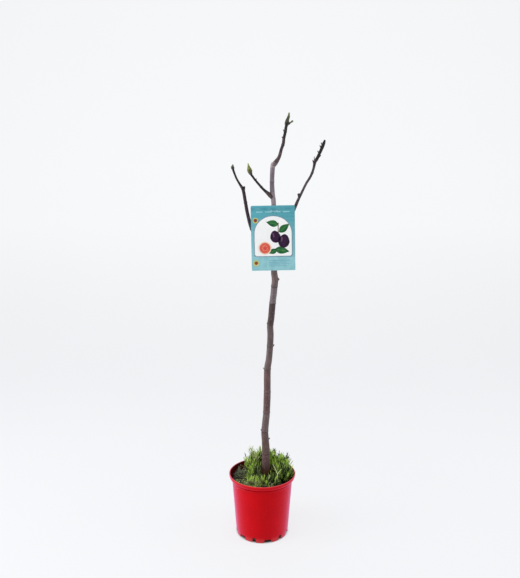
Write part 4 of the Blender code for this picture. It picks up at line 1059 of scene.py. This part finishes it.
def pot_profile():
    """Half section of the pot, from the inner floor over the lip and down to the foot."""
    shoulder = POT_HEIGHT - COLLAR_FOOT
    below = shoulder - COLLAR_STEP[1]
    floor_top = FLOOR_UNDERSIDE + FLOOR
    rise = [WALL_START + (below - WALL_START) * n / WALL_RINGS for n in range(WALL_RINGS)]
    collar = rounded([
        (wall_radius(below), below),
        (WALL_TOP_RADIUS + WALL / 2, shoulder + WALL / 2),
        (RIM_RADIUS - COLLAR_TAPER - COLLAR_STEP[0], POT_HEIGHT - COLLAR_HEIGHT - COLLAR_STEP[1]),
        (RIM_RADIUS - COLLAR_TAPER, POT_HEIGHT - COLLAR_HEIGHT),
        (RIM_RADIUS - COLLAR_TAPER * 0.25, POT_HEIGHT - COLLAR_HEIGHT * 0.6),
        (RIM_RADIUS, POT_HEIGHT - LIP * 0.5)])
    lip = arc((RIM_RADIUS - LIP / 2, POT_HEIGHT - LIP / 2), LIP / 2, 0.0, math.pi, 10)
    inner = rounded([
        (RIM_RADIUS - LIP, POT_HEIGHT - LIP * 0.5),
        (RIM_RADIUS - LIP - WALL, POT_HEIGHT - COLLAR_HEIGHT * 0.8),
        (WALL_TOP_RADIUS - WALL / 4, shoulder + WALL),
        (wall_radius(below) - WALL, below)])
    outside = [(wall_radius(height), height) for height in rise]
    edge = WALL_FOOT_RADIUS - FOOT_TAPER
    foot = [(edge - WALL, FLOOR_UNDERSIDE), (edge - WALL - FOOT_TAPER, FOOT_ROUND), (edge - WALL, 0.0),
            (edge - FOOT_ROUND, 0.0), (edge, FOOT_ROUND), (wall_radius(FOOT_TOP) - 0.0001, FOOT_TOP)]
    return ([(0.0, FLOOR_UNDERSIDE)] + foot + outside + collar + lip[1:] + inner[1:]
            + [(wall_radius(floor_top) - WALL, floor_top), (0.0, floor_top)])


def notch_shape(angle, width, height):
    """The wedge that opens the foot's edge, round at its top corners."""
    shape = bmesh.new()
    bmesh.ops.create_cube(shape, size=1.0)
    bmesh.ops.scale(shape, verts=shape.verts, vec=(NOTCH_DEPTH, width, 2.0 * height))
    for vertex in shape.verts:
        if vertex.co.z > 0.0:
            vertex.co.y *= NOTCH_TAPER
    upper = [edge for edge in shape.edges
             if all(v.co.z > 0.0 for v in edge.verts) and abs(edge.verts[0].co.y - edge.verts[1].co.y) < 1e-6]
    bmesh.ops.bevel(shape, geom=upper, offset=NOTCH_ROUND * height, offset_type="OFFSET", segments=4,
                    profile=0.5, affect="EDGES", material=-1)
    turn = Matrix.Rotation(angle, 4, "Z") @ Matrix.Translation((WALL_FOOT_RADIUS, 0.0, 0.0))
    bmesh.ops.transform(shape, verts=shape.verts, matrix=turn)
    return shape


def drain_shape(angle):
    """The round bar that opens a drain hole in the pot's floor."""
    depth, height = DRAIN_CUT
    shape = bmesh.new()
    bmesh.ops.create_cone(shape, cap_ends=True, segments=28, radius1=DRAIN_HOLE_RADIUS,
                          radius2=DRAIN_HOLE_RADIUS, depth=depth)
    bmesh.ops.translate(shape, verts=shape.verts, vec=(*around((0.0, 0.0), DRAIN_CIRCLE, angle), height))
    return shape


def wear_pot(mesh):
    """Store on the pot where soil dust lies, where a highlight is painted along the lip and where the foot is
    rubbed.
    """
    share, clean, high = DUST_FOOT
    dust = []
    lip_highlight_and_foot_wear = []
    for vertex in mesh.vertices:
        height = vertex.co.z
        inside = vertex.normal.dot(vertex.co - AXIS - Vector((0.0, 0.0, height))) < 0.0
        near_soil = 1.0 - smooth_step(SOIL_TOP + DUST_RISE[0], POT_HEIGHT - DUST_RISE[1], height)
        dust.append(near_soil if inside else share * (1.0 - smooth_step(clean, high, height)))
        # Painted highlight: a thin band round the top of the lip
        lip = math.exp(-((height - POT_HEIGHT) / LIP_HIGHLIGHT) ** 2)
        lip_highlight_and_foot_wear.append(max(lip, math.exp(-(height / WORN_FOOT) ** 2)))
    store(mesh, "dust", dust)
    store(mesh, "lip_highlight_and_foot_wear", lip_highlight_and_foot_wear)


def make_pot():
    """The red pot, spun from its section, with its foot notches and drain holes cut."""
    shape = turned(pot_profile(), POT_STEPS)
    for vertex in shape.verts:
        away = Vector((vertex.co.x, vertex.co.y, 0.0))
        if away.length > WAVE_FROM[0] and vertex.co.z > WAVE_FROM[1]:
            vertex.co += away.normalized() * WALL_WAVE * noise.noise(vertex.co * Vector(WAVE_GRAIN))
    cuts = bmesh.new()
    for number in range(NOTCHES):
        angle = NOTCH_TURN - math.pi / 2 + number * math.tau / NOTCHES
        add_shape(cuts, notch_shape(angle, *(NARROW_NOTCH if number % 2 else WIDE_NOTCH)))
    for number in range(DRAIN_HOLES):
        add_shape(cuts, drain_shape(number * math.tau / DRAIN_HOLES))
    mesh = combined("pot_shell", [shape, cuts], "DIFFERENCE")
    mesh.transform(Matrix.Translation(AXIS))
    wear_pot(mesh)
    made = piece_from_mesh("pot_shell", mesh, [pot_finish(*row) for row in POT_FINISHES], POT_SHARP)
    for face in mesh.polygons:
        face.material_index = pot_zone(face.center - AXIS, face.normal)
    settle(made, "pot_red", "pot")


def pot_zone(spot, facing):
    """Which of the pot's finishes a face has: 0 outside, 1 painted shade on the collar's step, 2 painted
    shade inside.
    """
    if facing.x * spot.x + facing.y * spot.y < -0.4 * math.hypot(spot.x, spot.y):
        return 2
    return 1 if POT_HEIGHT - COLLAR_FOOT < spot.z < POT_HEIGHT - COLLAR_HEIGHT else 0


# Soil

def soil_level(x, y):
    """Height of the crumbly soil at a place from the pot's axis."""
    lift, reach = SOIL_MOUND
    level = SOIL_TOP + lift * math.exp(-(math.dist((x, y), WEED_CENTRE) / reach) ** 2)
    for grain, height in SOIL_CRUMBS:
        level += height * noise.noise(Vector((x / grain, y / grain, SOIL_SEED)))
    return level


def make_soil():
    """The soil that fills the pot, with a crumbly top."""
    side = WALL + SOIL_ROOM
    reach = wall_radius(SOIL_TOP) - side
    profile = [(reach * (n / SOIL_RINGS), SOIL_TOP) for n in range(SOIL_RINGS + 1)]
    profile += [(wall_radius(height) - side, height) for height in (SOIL_TOP - SOIL_EDGE, SOIL_UNDERSIDE)]
    shape = turned(profile + [(0.0, SOIL_UNDERSIDE)], SOIL_STEPS)
    for vertex in shape.verts:
        if vertex.co.z > SOIL_TOP - 1e-5:
            vertex.co.z = soil_level(vertex.co.x, vertex.co.y)
    bmesh.ops.translate(shape, verts=shape.verts, vec=AXIS)
    settle(piece_from("soil_fill", shape, [soil_finish()], SOIL_SHARP), "soil_dark", "soil")


def make_crumbs():
    """Loose crumbs of peat and bark scattered over the soil."""
    rng = random.Random(CRUMB_SEED)
    shape = bmesh.new()
    bmesh.ops.create_icosphere(shape, subdivisions=1, radius=1.0)
    lump = mesh_of("lump", shape)
    lump.attributes.new("shade", "FLOAT", "POINT")
    whole = bmesh.new()
    for _ in range(CRUMB_COUNT):
        away = (wall_radius(SOIL_TOP) - SOIL_EDGE) * math.sqrt(rng.random())
        x, y = around((0.0, 0.0), away, rng.uniform(0.0, math.tau))
        size = rng.uniform(*CRUMB_SIZE) * rng.uniform(0.5, 1.0)
        stretch = Matrix.Diagonal((*(size * rng.uniform(*span) for span in CRUMB_STRETCH), 1.0))
        turn = Matrix.Rotation(rng.uniform(0.0, math.tau), 4, "Z")
        tilt = Matrix.Rotation(rng.uniform(-CRUMB_TILT, CRUMB_TILT), 4, "X")
        spot = AXIS + Vector((x, y, soil_level(x, y) + CRUMB_LIFT * size))
        copy_into(whole, lump, Matrix.Translation(spot) @ turn @ tilt @ stretch, {"shade": rng.random()})
    bpy.data.meshes.remove(lump)
    depth, grain = CRUMB_DENTS
    for vertex in whole.verts:
        vertex.co += Vector(noise.noise_vector(vertex.co / grain)) * depth
    settle(piece_from("soil_crumbs", whole, [crumb_finish()], CRUMB_SHARP), "soil_dark")


def copy_into(whole, template, place, values):
    """Add a placed copy of a template mesh, with a value added to each named attribute."""
    copy = template.copy()
    copy.transform(place)
    for name, value in values.items():
        layer = copy.attributes[name].data
        own = [0.0] * len(copy.vertices)
        layer.foreach_get("value", own)
        layer.foreach_set("value", [item + value for item in own])
    whole.from_mesh(copy)
    bpy.data.meshes.remove(copy)


# Weeds

def needle(foot, way, length, width, thickness, twist):
    """A narrow grass-like leaf: a three-sided blade whose ends are drawn out to points."""
    shape = bmesh.new()
    bmesh.ops.create_cone(shape, cap_ends=True, segments=3, radius1=0.5, radius2=0.42, depth=0.6)
    bmesh.ops.translate(shape, verts=shape.verts, vec=(0.0, 0.0, 0.5))
    ends = [face for face in shape.faces if len(face.verts) == 3]
    for vertex in bmesh.ops.poke(shape, faces=ends)["verts"]:
        vertex.co = (0.0, 0.0, 1.0 if vertex.co.z > 0.5 else 0.0)
    bmesh.ops.scale(shape, verts=shape.verts, vec=(width, thickness, length))
    place = Matrix.Translation(foot) @ upright(way) @ Matrix.Rotation(twist, 4, "Z")
    bmesh.ops.transform(shape, verts=shape.verts, matrix=place)
    return shape


def make_sprig(rng):
    """One upright weed stem with whorls of needle leaves and a tufted tip, as a mesh."""
    bend = Vector((rng.uniform(-SPRIG_BEND, SPRIG_BEND), rng.uniform(-SPRIG_BEND, SPRIG_BEND), 0.0))

    def stem_at(share):
        """The place on the stem at a share of its length."""
        return Vector((0.0, 0.0, SPRIG_LENGTH * share)) + bend * SPRIG_LENGTH * share * share

    whole = sweep([(stem_at(n / 4), SPRIG_STEM[0] - SPRIG_STEM[1] * n / 4) for n in range(5)], 3)
    for node in range(SPRIG_NODES):
        share = 0.22 + 0.78 * node / (SPRIG_NODES - 1)
        count, rises, long = TOP_WHORL if node == SPRIG_NODES - 1 else LOW_WHORL
        for leaf_number in range(count):
            compass = leaf_number * math.tau / count + node * 1.1 + rng.uniform(-0.3, 0.3)
            way = heading(compass, math.radians(rng.uniform(*rises)))
            length = rng.uniform(*NEEDLE_LENGTH) * long
            blade = needle(stem_at(share), way, length, NEEDLE_WIDTH, NEEDLE_THICKNESS, rng.uniform(0.0, 1.0))
            fill(blade, "shade", rng.uniform(-NEEDLE_SHADES, NEEDLE_SHADES))
            add_shape(whole, blade)
    tip = whole.verts.layers.float.new("tip")
    whole.verts.layers.float.new("straw")
    for vertex in whole.verts:
        # Painted shade: the tip value, and so the brightness, grows with height and with reach from the stem
        out = math.hypot(vertex.co.x, vertex.co.y) / NEEDLE_LENGTH[1]
        vertex[tip] = min(0.62 * vertex.co.z / SPRIG_LENGTH + 0.38 * out, 1.0)
    return mesh_of("sprig", whole)


def fill(shape, name, value):
    """Store one value on all vertices of a bmesh."""
    layer = shape.verts.layers.float.new(name)
    for vertex in shape.verts:
        vertex[layer] = value


def tuft_shade_core(centre, halves, turn, height, seed):
    """The dense heart of a tuft, that the sprigs stand out of, coloured near black as painted shade."""
    shape = bmesh.new()
    bmesh.ops.create_icosphere(shape, subdivisions=4, radius=1.0)
    for vertex in shape.verts:
        swell = 1.0 + sum(gain * noise.noise(vertex.co * grain + Vector((seed, shift, 0.0)))
                          for gain, grain, shift in CORE_LUMPS)
        high = height * (CORE_BELOW if vertex.co.z < 0.0 else 1.0)
        vertex.co *= Vector((*halves, high)) * swell
    place = Matrix.Translation((*centre, SOIL_TOP + 0.0012)) @ Matrix.Rotation(math.radians(turn), 4, "Z")
    bmesh.ops.transform(shape, verts=shape.verts, matrix=place)
    tip = shape.verts.layers.float.new("tip")
    # Painted shade: the core takes the darkest needle colours
    fill(shape, "shade", 0.0)
    fill(shape, "straw", 0.0)
    for vertex in shape.verts:
        vertex.co.x, vertex.co.y = keep_inside(Vector(vertex.co[:2]), vertex.co.z, 0.9)
        vertex[tip] = CORE_TIP * smooth_step(SOIL_TOP, SOIL_TOP + height, vertex.co.z)
    return shape


def keep_inside(flat, height, share=1.0):
    """A place drawn in from the pot's wall, measured from the pot's axis."""
    room = share * (ROOM_ABOVE_RIM if height > POT_HEIGHT + 0.003 else ROOM_BELOW_RIM)
    return flat * (room / flat.length) if flat.length > room else flat


def upright(way):
    """The turn that sets the z axis along a way."""
    return way.to_track_quat("Z", "Y").to_matrix().to_4x4()


def add_stem(whole, low, high, storeys, rng, sprigs, shade, straw):
    """Add one leafy stem: sprigs set one over another from its foot to its tip."""
    for storey in range(storeys):
        wide = rng.uniform(*STOREY_WIDTH)
        tall = (high - low).length / storeys / SPRIG_LENGTH
        place = (Matrix.Translation(low.lerp(high, storey / storeys)) @ upright(high - low)
                 @ Matrix.Rotation(rng.uniform(0.0, math.tau), 4, "Z")
                 @ Matrix.Diagonal((wide, wide, tall, 1.0)))
        # Painted shade: lower sprigs get a smaller tip value and so a darker colour
        drop = SPRIG_TIP_DROP * ((storey + 1) / storeys - 1.0)
        copy_into(whole, rng.choice(sprigs), place, {"shade": shade, "straw": straw, "tip": drop})


def make_tuft(row, sprigs):
    """One tuft: its core, painted dark as shade, and the leafy stems that stand all over its patch of soil.
    """
    name, centre, halves, turn, top, count, lit_share, pale, seed = row
    rng = random.Random(seed)
    spin = Matrix.Rotation(math.radians(turn), 2)
    whole = tuft_shade_core(centre, [half * CORE_SHARE for half in halves], turn, CORE_SHARE * top, float(seed))
    for number in range(count):
        away = math.sqrt((number + 0.5) / count)
        angle = number * GOLDEN_ANGLE + rng.uniform(-0.3, 0.3)
        way = spin @ Vector((halves[0] * math.cos(angle), halves[1] * math.sin(angle)))
        height = top * (1.0 - EDGE_DROP * away ** 2.5) * rng.uniform(*STEM_HEIGHT)
        height *= LEFT_SHOULDER + (1.0 - LEFT_SHOULDER) * smooth_step(*LEFT_SLOPE, centre[0] + away * way.x)
        sway = Vector((rng.uniform(-1.0, 1.0), rng.uniform(-1.0, 1.0))) * STEM_SWAY * height
        foot = keep_inside(Vector(centre) + way * away * 0.92, SOIL_TOP)
        tip = keep_inside(foot + way * away * STEM_LEAN + sway, SOIL_TOP + height)
        if min(math.dist(spot, WEED_CENTRE) for spot in (foot, tip, foot.lerp(tip, 0.6))) < TRUNK_ROOM:
            continue
        patch = noise.noise(Vector((foot.x / 0.012, foot.y / 0.012, 7.0)))
        # Painted light and shade: each stem is coloured either as lit or as shaded
        lit = STEM_LIT if rng.random() < lit_share else -STEM_LIT
        shade = 0.5 + lit + 0.5 * patch + rng.uniform(-0.15, 0.15)
        straw = pale * rng.uniform(0.2, 1.8) + (STEM_DRY[1] if rng.random() < STEM_DRY[0] else 0.0)
        storeys = max(1, round(height / SPRIG_LENGTH))
        low = Vector((*foot, SOIL_TOP - 0.001))
        high = Vector((*tip, SOIL_TOP + height))
        add_stem(whole, low, high, storeys, rng, sprigs, shade, straw)
    bmesh.ops.translate(whole, verts=whole.verts, vec=AXIS)
    return piece_from("fine_" + name, whole, [NEEDLES], TUFT_SHARP)


def make_weeds():
    """All the tufts on the soil."""
    rng = random.Random(SPRIG_SEED)
    sprigs = [make_sprig(rng) for _ in range(SPRIG_KINDS)]
    for row in TUFTS:
        settle(make_tuft(row, sprigs), "weed_green", row[0])
    for mesh in sprigs:
        bpy.data.meshes.remove(mesh)


def twig_radius(line, thin):
    """Radius rule of a dry stem: a share of the solid's radius, a little uneven."""
    def radius_at(number, _):
        """The radius at a point of the line, the same all round."""
        spot, radius = line[number]
        return thin * radius * (1.0 + DRY_LUMP[0] * noise.noise(spot / DRY_LUMP[1]))
    return radius_at


def make_dry_stems():
    """The two pale forked stems that stand in the soil."""
    for (name, foot, arms), thin, finish in zip(DRY_STEMS, DRY_THINNESS, (PALE_STEM, GREY_STEM)):
        rows = [[(foot[0] + x, foot[1] + y, SOIL_TOP + z, radius) for x, y, z, radius in arm] for arm in arms]
        lines = [smooth_line(row, 0.0012) for row in rows]
        mesh = combined(name, [sweep(line, 10, twig_radius(line, thin)) for line in lines])
        settle(piece_from_mesh("fine_" + name, mesh, [finish], 60.0), "straw", name)


def make_litter(finish, name, count, middle, reach, rises, seed):
    """Short dead stems lying on and among the weeds round a middle."""
    rng = random.Random(seed)
    whole = bmesh.new()
    for _ in range(count):
        away = reach * math.sqrt(rng.random())
        spot = around(middle, away, rng.uniform(0.0, math.tau))
        if math.dist(spot, WEED_CENTRE) < TRUNK_ROOM + LITTER_ROOM:
            continue
        height = SOIL_TOP + LITTER_LIFT + tuft_height(*spot) * rng.uniform(*LITTER_LEVEL)
        compass = rng.uniform(0.0, math.tau)
        length = rng.uniform(*LITTER_LENGTH)
        rise = rng.uniform(*rises)
        points = []
        for share in (0.0, 0.5, 1.0):
            bend = compass + LITTER_TURN * share * rng.uniform(-1.0, 1.0)
            flat = keep_inside(Vector(around(spot, length * share, bend)), SOIL_TOP, 0.98)
            lift = length * share * (rise - LITTER_SAG * share)
            points.append((*flat, height + lift, LITTER_RADIUS))
        add_shape(whole, sweep(smooth_line(points, 0.003), 5))
    settle(piece_from(name, whole, [finish], 180.0), "straw")


def make_dead_leaves():
    """Withered brown needles that stand round the trunk's foot."""
    rng = random.Random(DEAD_LEAF_SEED)
    whole = bmesh.new()
    for number in range(DEAD_LEAVES):
        angle = number * GOLDEN_ANGLE
        flat = around(WEED_CENTRE, rng.uniform(*DEAD_LEAF_RING), angle)
        way = Vector((*around((0.0, 0.0), DEAD_LEAF_LEAN, angle + rng.uniform(-1.2, 1.2)), 1.0)).normalized()
        foot = AXIS + Vector((*flat, SOIL_TOP + rng.uniform(*DEAD_LEAF_FOOT)))
        length = rng.uniform(*DEAD_LEAF_LENGTH)
        add_shape(whole, needle(foot, way, length, DEAD_LEAF_WIDTH, NEEDLE_THICKNESS, rng.uniform(0.0, 3.0)))
    settle(piece_from("dead_leaves", whole, [DEAD_LEAF], 180.0), "weed_green")


def tuft_height(x, y):
    """Rough height of the weeds' core over the soil at a place."""
    height = 0.0
    for _, centre, halves, turn, top, _, _, _, _ in TUFTS:
        off = Matrix.Rotation(-math.radians(turn), 2) @ Vector((x - centre[0], y - centre[1]))
        away = (off.x / halves[0]) ** 2 + (off.y / halves[1]) ** 2
        if away < 1.0:
            height = max(height, 0.8 * top * math.sqrt(1.0 - away))
    return height


# Card

def card_place(lift):
    """Turns card coordinates, x to the right and y up, into the room, lift in front of its back."""
    place = Matrix.Translation((AXIS.x + LABEL_CENTRE[0], LABEL_BACK_Y - lift, LABEL_CENTRE[1]))
    return place @ Matrix.Rotation(-LABEL_ROLL, 4, "Y") @ Matrix.Rotation(math.pi / 2, 4, "X")


def rounded_box(width, height, radius, steps=8, centre=(0.0, 0.0)):
    """Outline of a rectangle with round corners."""
    points = []
    for turn, (sx, sy) in enumerate(((1, 1), (-1, 1), (-1, -1), (1, -1))):
        corner = (centre[0] + sx * (width / 2 - radius), centre[1] + sy * (height / 2 - radius))
        points += arc(corner, radius, math.pi / 2 * turn, math.pi / 2 * (turn + 1), steps)
    return points


def placed(points, centre, turn):
    """An outline turned and moved to a centre."""
    return [(centre[0] + x * math.cos(turn) - y * math.sin(turn),
             centre[1] + x * math.sin(turn) + y * math.cos(turn)) for x, y in points]


def disc(centre, radius, steps=36, squash=1.0, pinch=0.0, turn=0.0):
    """Outline of a disc, or of a plump drop whose top is pinched."""
    points = [around((0.0, 0.0), radius, math.tau * step / steps) for step in range(steps)]
    return placed([(squash * x * (1.0 - pinch * max(y / radius, 0.0)), y) for x, y in points], centre, turn)


def leaf(centre, length, width, turn):
    """Outline of a pointed leaf."""
    points = []
    for side in (1, -1):
        for step in range(20):
            share = step / 20 if side == 1 else 1.0 - step / 20
            half = width * math.sin(math.pi * share ** 0.85) * (1.0 - 0.25 * share)
            points.append((side * half, length * (share - 0.5)))
    return placed(points, centre, turn)


def plate(outline, back, front, bevel=0.0):
    """A thin closed plate on the card, from lift back to lift front."""
    shape = bmesh.new()
    face = shape.faces.new([shape.verts.new((x, y, 0.0)) for x, y in outline])
    grown = bmesh.ops.extrude_face_region(shape, geom=[face])["geom"]
    bmesh.ops.translate(shape, verts=verts_in(grown), vec=(0.0, 0.0, front - back))
    bmesh.ops.recalc_face_normals(shape, faces=shape.faces)
    if bevel:
        rims = [edge for edge in shape.edges if abs(edge.verts[0].co.z - edge.verts[1].co.z) < 1e-7]
        bmesh.ops.bevel(shape, geom=rims, offset=bevel, offset_type="OFFSET", segments=2, profile=0.5,
                        affect="EDGES", material=-1)
    bmesh.ops.transform(shape, verts=shape.verts, matrix=card_place(back))
    return shape


def prints():
    """The generic picture on the card: name, colour, second colour, outlines, layer."""
    wide, tall = LABEL_SIZE
    half, foot, rise = WINDOW
    arch = [(half * math.cos(math.pi * n / 28), foot + rise * math.sin(math.pi * n / 28)) for n in range(29)]
    arch += WINDOW_FOOT
    ring = [(x * RING_GROWTH, (y - 0.004) * RING_GROWTH + 0.004) for x, y in arch]
    wave = [(wide * (n / 24 - 0.5), -0.05 + 0.0045 * math.sin(math.tau * n / 24)) for n in range(25)]
    ground = wave[::-1] + [(-wide / 2, -tall / 2), (wide / 2, -tall / 2)]
    band = [(wide / 2 * side, tall / 2 * level)
            for side, level in ((0.999, 0.86), (0.999, 0.93), (-0.999, 0.93), (-0.999, 0.86))]
    seeds = [disc(around(CUT_FRUIT, 0.0068, n * 0.785), 0.0011, 8) for n in range(8)]
    bars = [rounded_box(0.018, 0.0024, 0.0011, 3, (x, tall / 2 - 0.017))
            for x in (-0.036, -0.012, 0.012, 0.036)]
    lines = [rounded_box(0.058 - 0.009 * (n % 2), 0.0013, 0.0006, 2,
                         (0.016 - 0.0045 * (n % 2), -0.06 - 0.005 * n)) for n in range(4)]
    twig = rounded_box(0.0022, 0.052, 0.001, 3, (0.014, 0.016))
    midribs = [leaf(spot, 0.88 * length, 0.06 * width, turn) for spot, length, width, turn in PRINT_LEAVES]
    return (
        ("print_foot", (140, 198, 206), (158, 212, 218), [ground], 1),
        ("print_band", (74, 150, 166), (104, 172, 186), [band], 1),
        ("print_ring", (116, 146, 166), (140, 170, 186), [ring], 2),
        ("print_window", (255, 255, 255), (250, 252, 251), [arch], 3),
        ("print_bars", (150, 208, 218), (176, 222, 228), bars, 2),
        ("print_lines", (104, 164, 186), (120, 176, 196), lines, 3),
        ("print_leaves", (20, 84, 50), (52, 120, 62), [leaf(*row) for row in PRINT_LEAVES], 4),
        ("print_midribs", (86, 148, 84), (104, 164, 96), midribs, 5),
        ("print_twig", (92, 64, 48), (110, 80, 60), [twig], 5),
        ("print_plums", (56, 26, 62), (30, 16, 42), [disc(*row) for row in PLUMS], 6),
        ("print_shine", (128, 84, 118), (92, 56, 92), [disc(*row) for row in SHINES], 7),
        ("print_rind", (244, 224, 196), (232, 206, 180), [disc(CUT_FRUIT, 0.0175)], 8),
        ("print_flesh", (232, 104, 84), (216, 70, 66), [disc(CUT_FRUIT, 0.0145)], 9),
        ("print_seeds", (250, 214, 176), (240, 190, 150), seeds, 10),
        ("print_badges", (206, 208, 128), (186, 192, 100), [disc(*row) for row in BADGES], 4),
        ("print_badge_hearts", (156, 74, 52), (120, 52, 40), [disc(*row) for row in BADGE_HEARTS], 5),
    )


def make_card():
    """The laminated card with its two slits, and its generic print."""
    shape = plate(rounded_box(*LABEL_SIZE, LABEL_CORNER), 0.0, LABEL_THICKNESS, CARD_EDGE)
    slits = bmesh.new()
    tie_low, tie_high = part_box("label_tie")
    for x in (tie_low.x + SLIT_INSET, tie_high.x - SLIT_INSET):
        part = bmesh.new()
        bmesh.ops.create_cube(part, size=1.0)
        bmesh.ops.scale(part, verts=part.verts, vec=SLIT)
        bmesh.ops.translate(part, verts=part.verts, vec=(x, LABEL_BACK_Y, TIE_HEIGHT))
        add_shape(slits, part)
    mesh = combined("picture_card", [shape, slits], "DIFFERENCE")
    settle(piece_from_mesh("picture_card", mesh, [card_finish()], CARD_SHARP), "label_card", "label")
    for name, base, patch, outlines, layer in prints():
        whole = bmesh.new()
        for outline in outlines:
            add_shape(whole, plate(outline, LABEL_THICKNESS, LABEL_THICKNESS + PRINT_LIFT * layer))
        finish = plain_finish(name + "_ink", base, patch, 0.28, patch_scale=70.0, patch_amount=0.8,
                              speck_amount=0.06, grain=1500.0, depth=0.00005, strength=0.1, coat=0.4)
        settle(piece_from(name, whole, [finish]), "label_card")


def finish_tie():
    """A clear plastic finish on the tie, which keeps the solid's own mesh."""
    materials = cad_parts["label_tie"].data.materials
    materials.clear()
    materials.append(plain_finish("tie_plastic", (142, 192, 200), (124, 180, 190), 0.35, speck_amount=0.05,
                                  depth=0.0001))


# Studio

def area_light(name, spot, size, power, colour):
    """A soft box that faces the plant."""
    data = bpy.data.lights.new(name, "AREA")
    data.shape = "RECTANGLE"
    data.size, data.size_y = size
    data.energy = power
    data.color = colour
    lamp = linked(name, data)
    lamp.location = spot
    lamp.rotation_euler = (Vector(LAMP_AIM) - Vector(spot)).to_track_quat("-Z", "Y").to_euler()


def paper_finish():
    """Matt paper that glows evenly, but for the ground under the pot, which is left dark as a painted shadow.
    """
    material, graph, shader = new_material("studio_paper")
    where = graph.stretched(Location=tuple(-AXIS))
    away = graph.add("ShaderNodeVectorMath", {0: where}, operation="LENGTH").outputs["Value"]
    soft = graph.add("ShaderNodeTexNoise", {"Vector": where, "Scale": 2.0}).outputs[0]
    height = graph.add("ShaderNodeSeparateXYZ", {0: where}).outputs[2]
    rise = graph.ramp(graph.math("DIVIDE", height, PAPER_HIGH), ((0.0, 0.0), (1.0, 1.0)))
    even = graph.mix(rise, paint("paper_glow"), paint("paper_glow_high"))
    # Painted shadow: no glow on the ground under the pot
    glow = graph.mix(graph.ramp(away, PAPER_SHADOW_RING), (0.0, 0.0, 0.0), even)
    graph.feed(shader, {"Base Color": graph.mix(soft, paint("paper"), paint("paper_shade")),
                        "Roughness": 0.95, "Specular IOR Level": 0.0, "Emission Color": glow,
                        "Emission Strength": PAPER_LIGHT})
    return material


def make_backdrop():
    """Pale floor that curves up behind the plant."""
    bend = arc((BACKDROP_FOOT, BACKDROP_BEND), BACKDROP_BEND, -math.pi / 2, 0.0, 12)
    section = [(FLOOR_FRONT, 0.0), *bend, (BACKDROP_FOOT + BACKDROP_BEND, BACKDROP_TOP)]
    shape = bmesh.new()
    start = [shape.verts.new((-FLOOR_SIDE, y, z)) for y, z in section]
    edges = [shape.edges.new(pair) for pair in zip(start, start[1:])]
    grown = bmesh.ops.extrude_edge_only(shape, edges=edges)["geom"]
    bmesh.ops.translate(shape, verts=verts_in(grown), vec=(2.0 * FLOOR_SIDE, 0.0, 0.0))
    bmesh.ops.recalc_face_normals(shape, faces=shape.faces)
    piece_from("studio_paper", shape, [paper_finish()], 60.0)


def make_world():
    """A pale world, dim in front of the plant."""
    world = bpy.data.worlds.new("studio")
    bpy.context.scene.world = world
    world.use_nodes = True
    graph = Graph(world.node_tree)
    way = graph.add("ShaderNodeTexCoord").outputs["Generated"]
    depth = graph.add("ShaderNodeSeparateXYZ", {0: way}).outputs[1]
    share = graph.math("ADD", 0.5, graph.times(depth, 0.5))
    graph.feed(world.node_tree.nodes["Background"],
               {"Color": graph.ramp(share, ((0.12, 0.16), (0.42, 1.0))), "Strength": WORLD_LIGHT})


def make_camera():
    """The camera where the photograph was taken from."""
    data = bpy.data.cameras.new("photo_camera")
    data.lens = CAMERA_LENS
    data.sensor_width = 36.0
    camera = linked("photo_camera", data)
    camera.location = CAMERA_SPOT
    camera.rotation_euler = (CAMERA_PITCH, 0.0, 0.0)
    bpy.context.scene.camera = camera


make_camera()
make_tree()
make_buds()
make_pot()
make_soil()
make_crumbs()
make_weeds()
make_dry_stems()
for litter_finish, litter_row in zip((STRAW, GREY_STEM), LITTER):
    make_litter(litter_finish, *litter_row)
make_dead_leaves()
make_card()
finish_tie()
make_backdrop()
make_world()
for lamp_row in LAMPS:
    area_light(*lamp_row)
bpy.context.scene.view_settings.view_transform = "Standard"
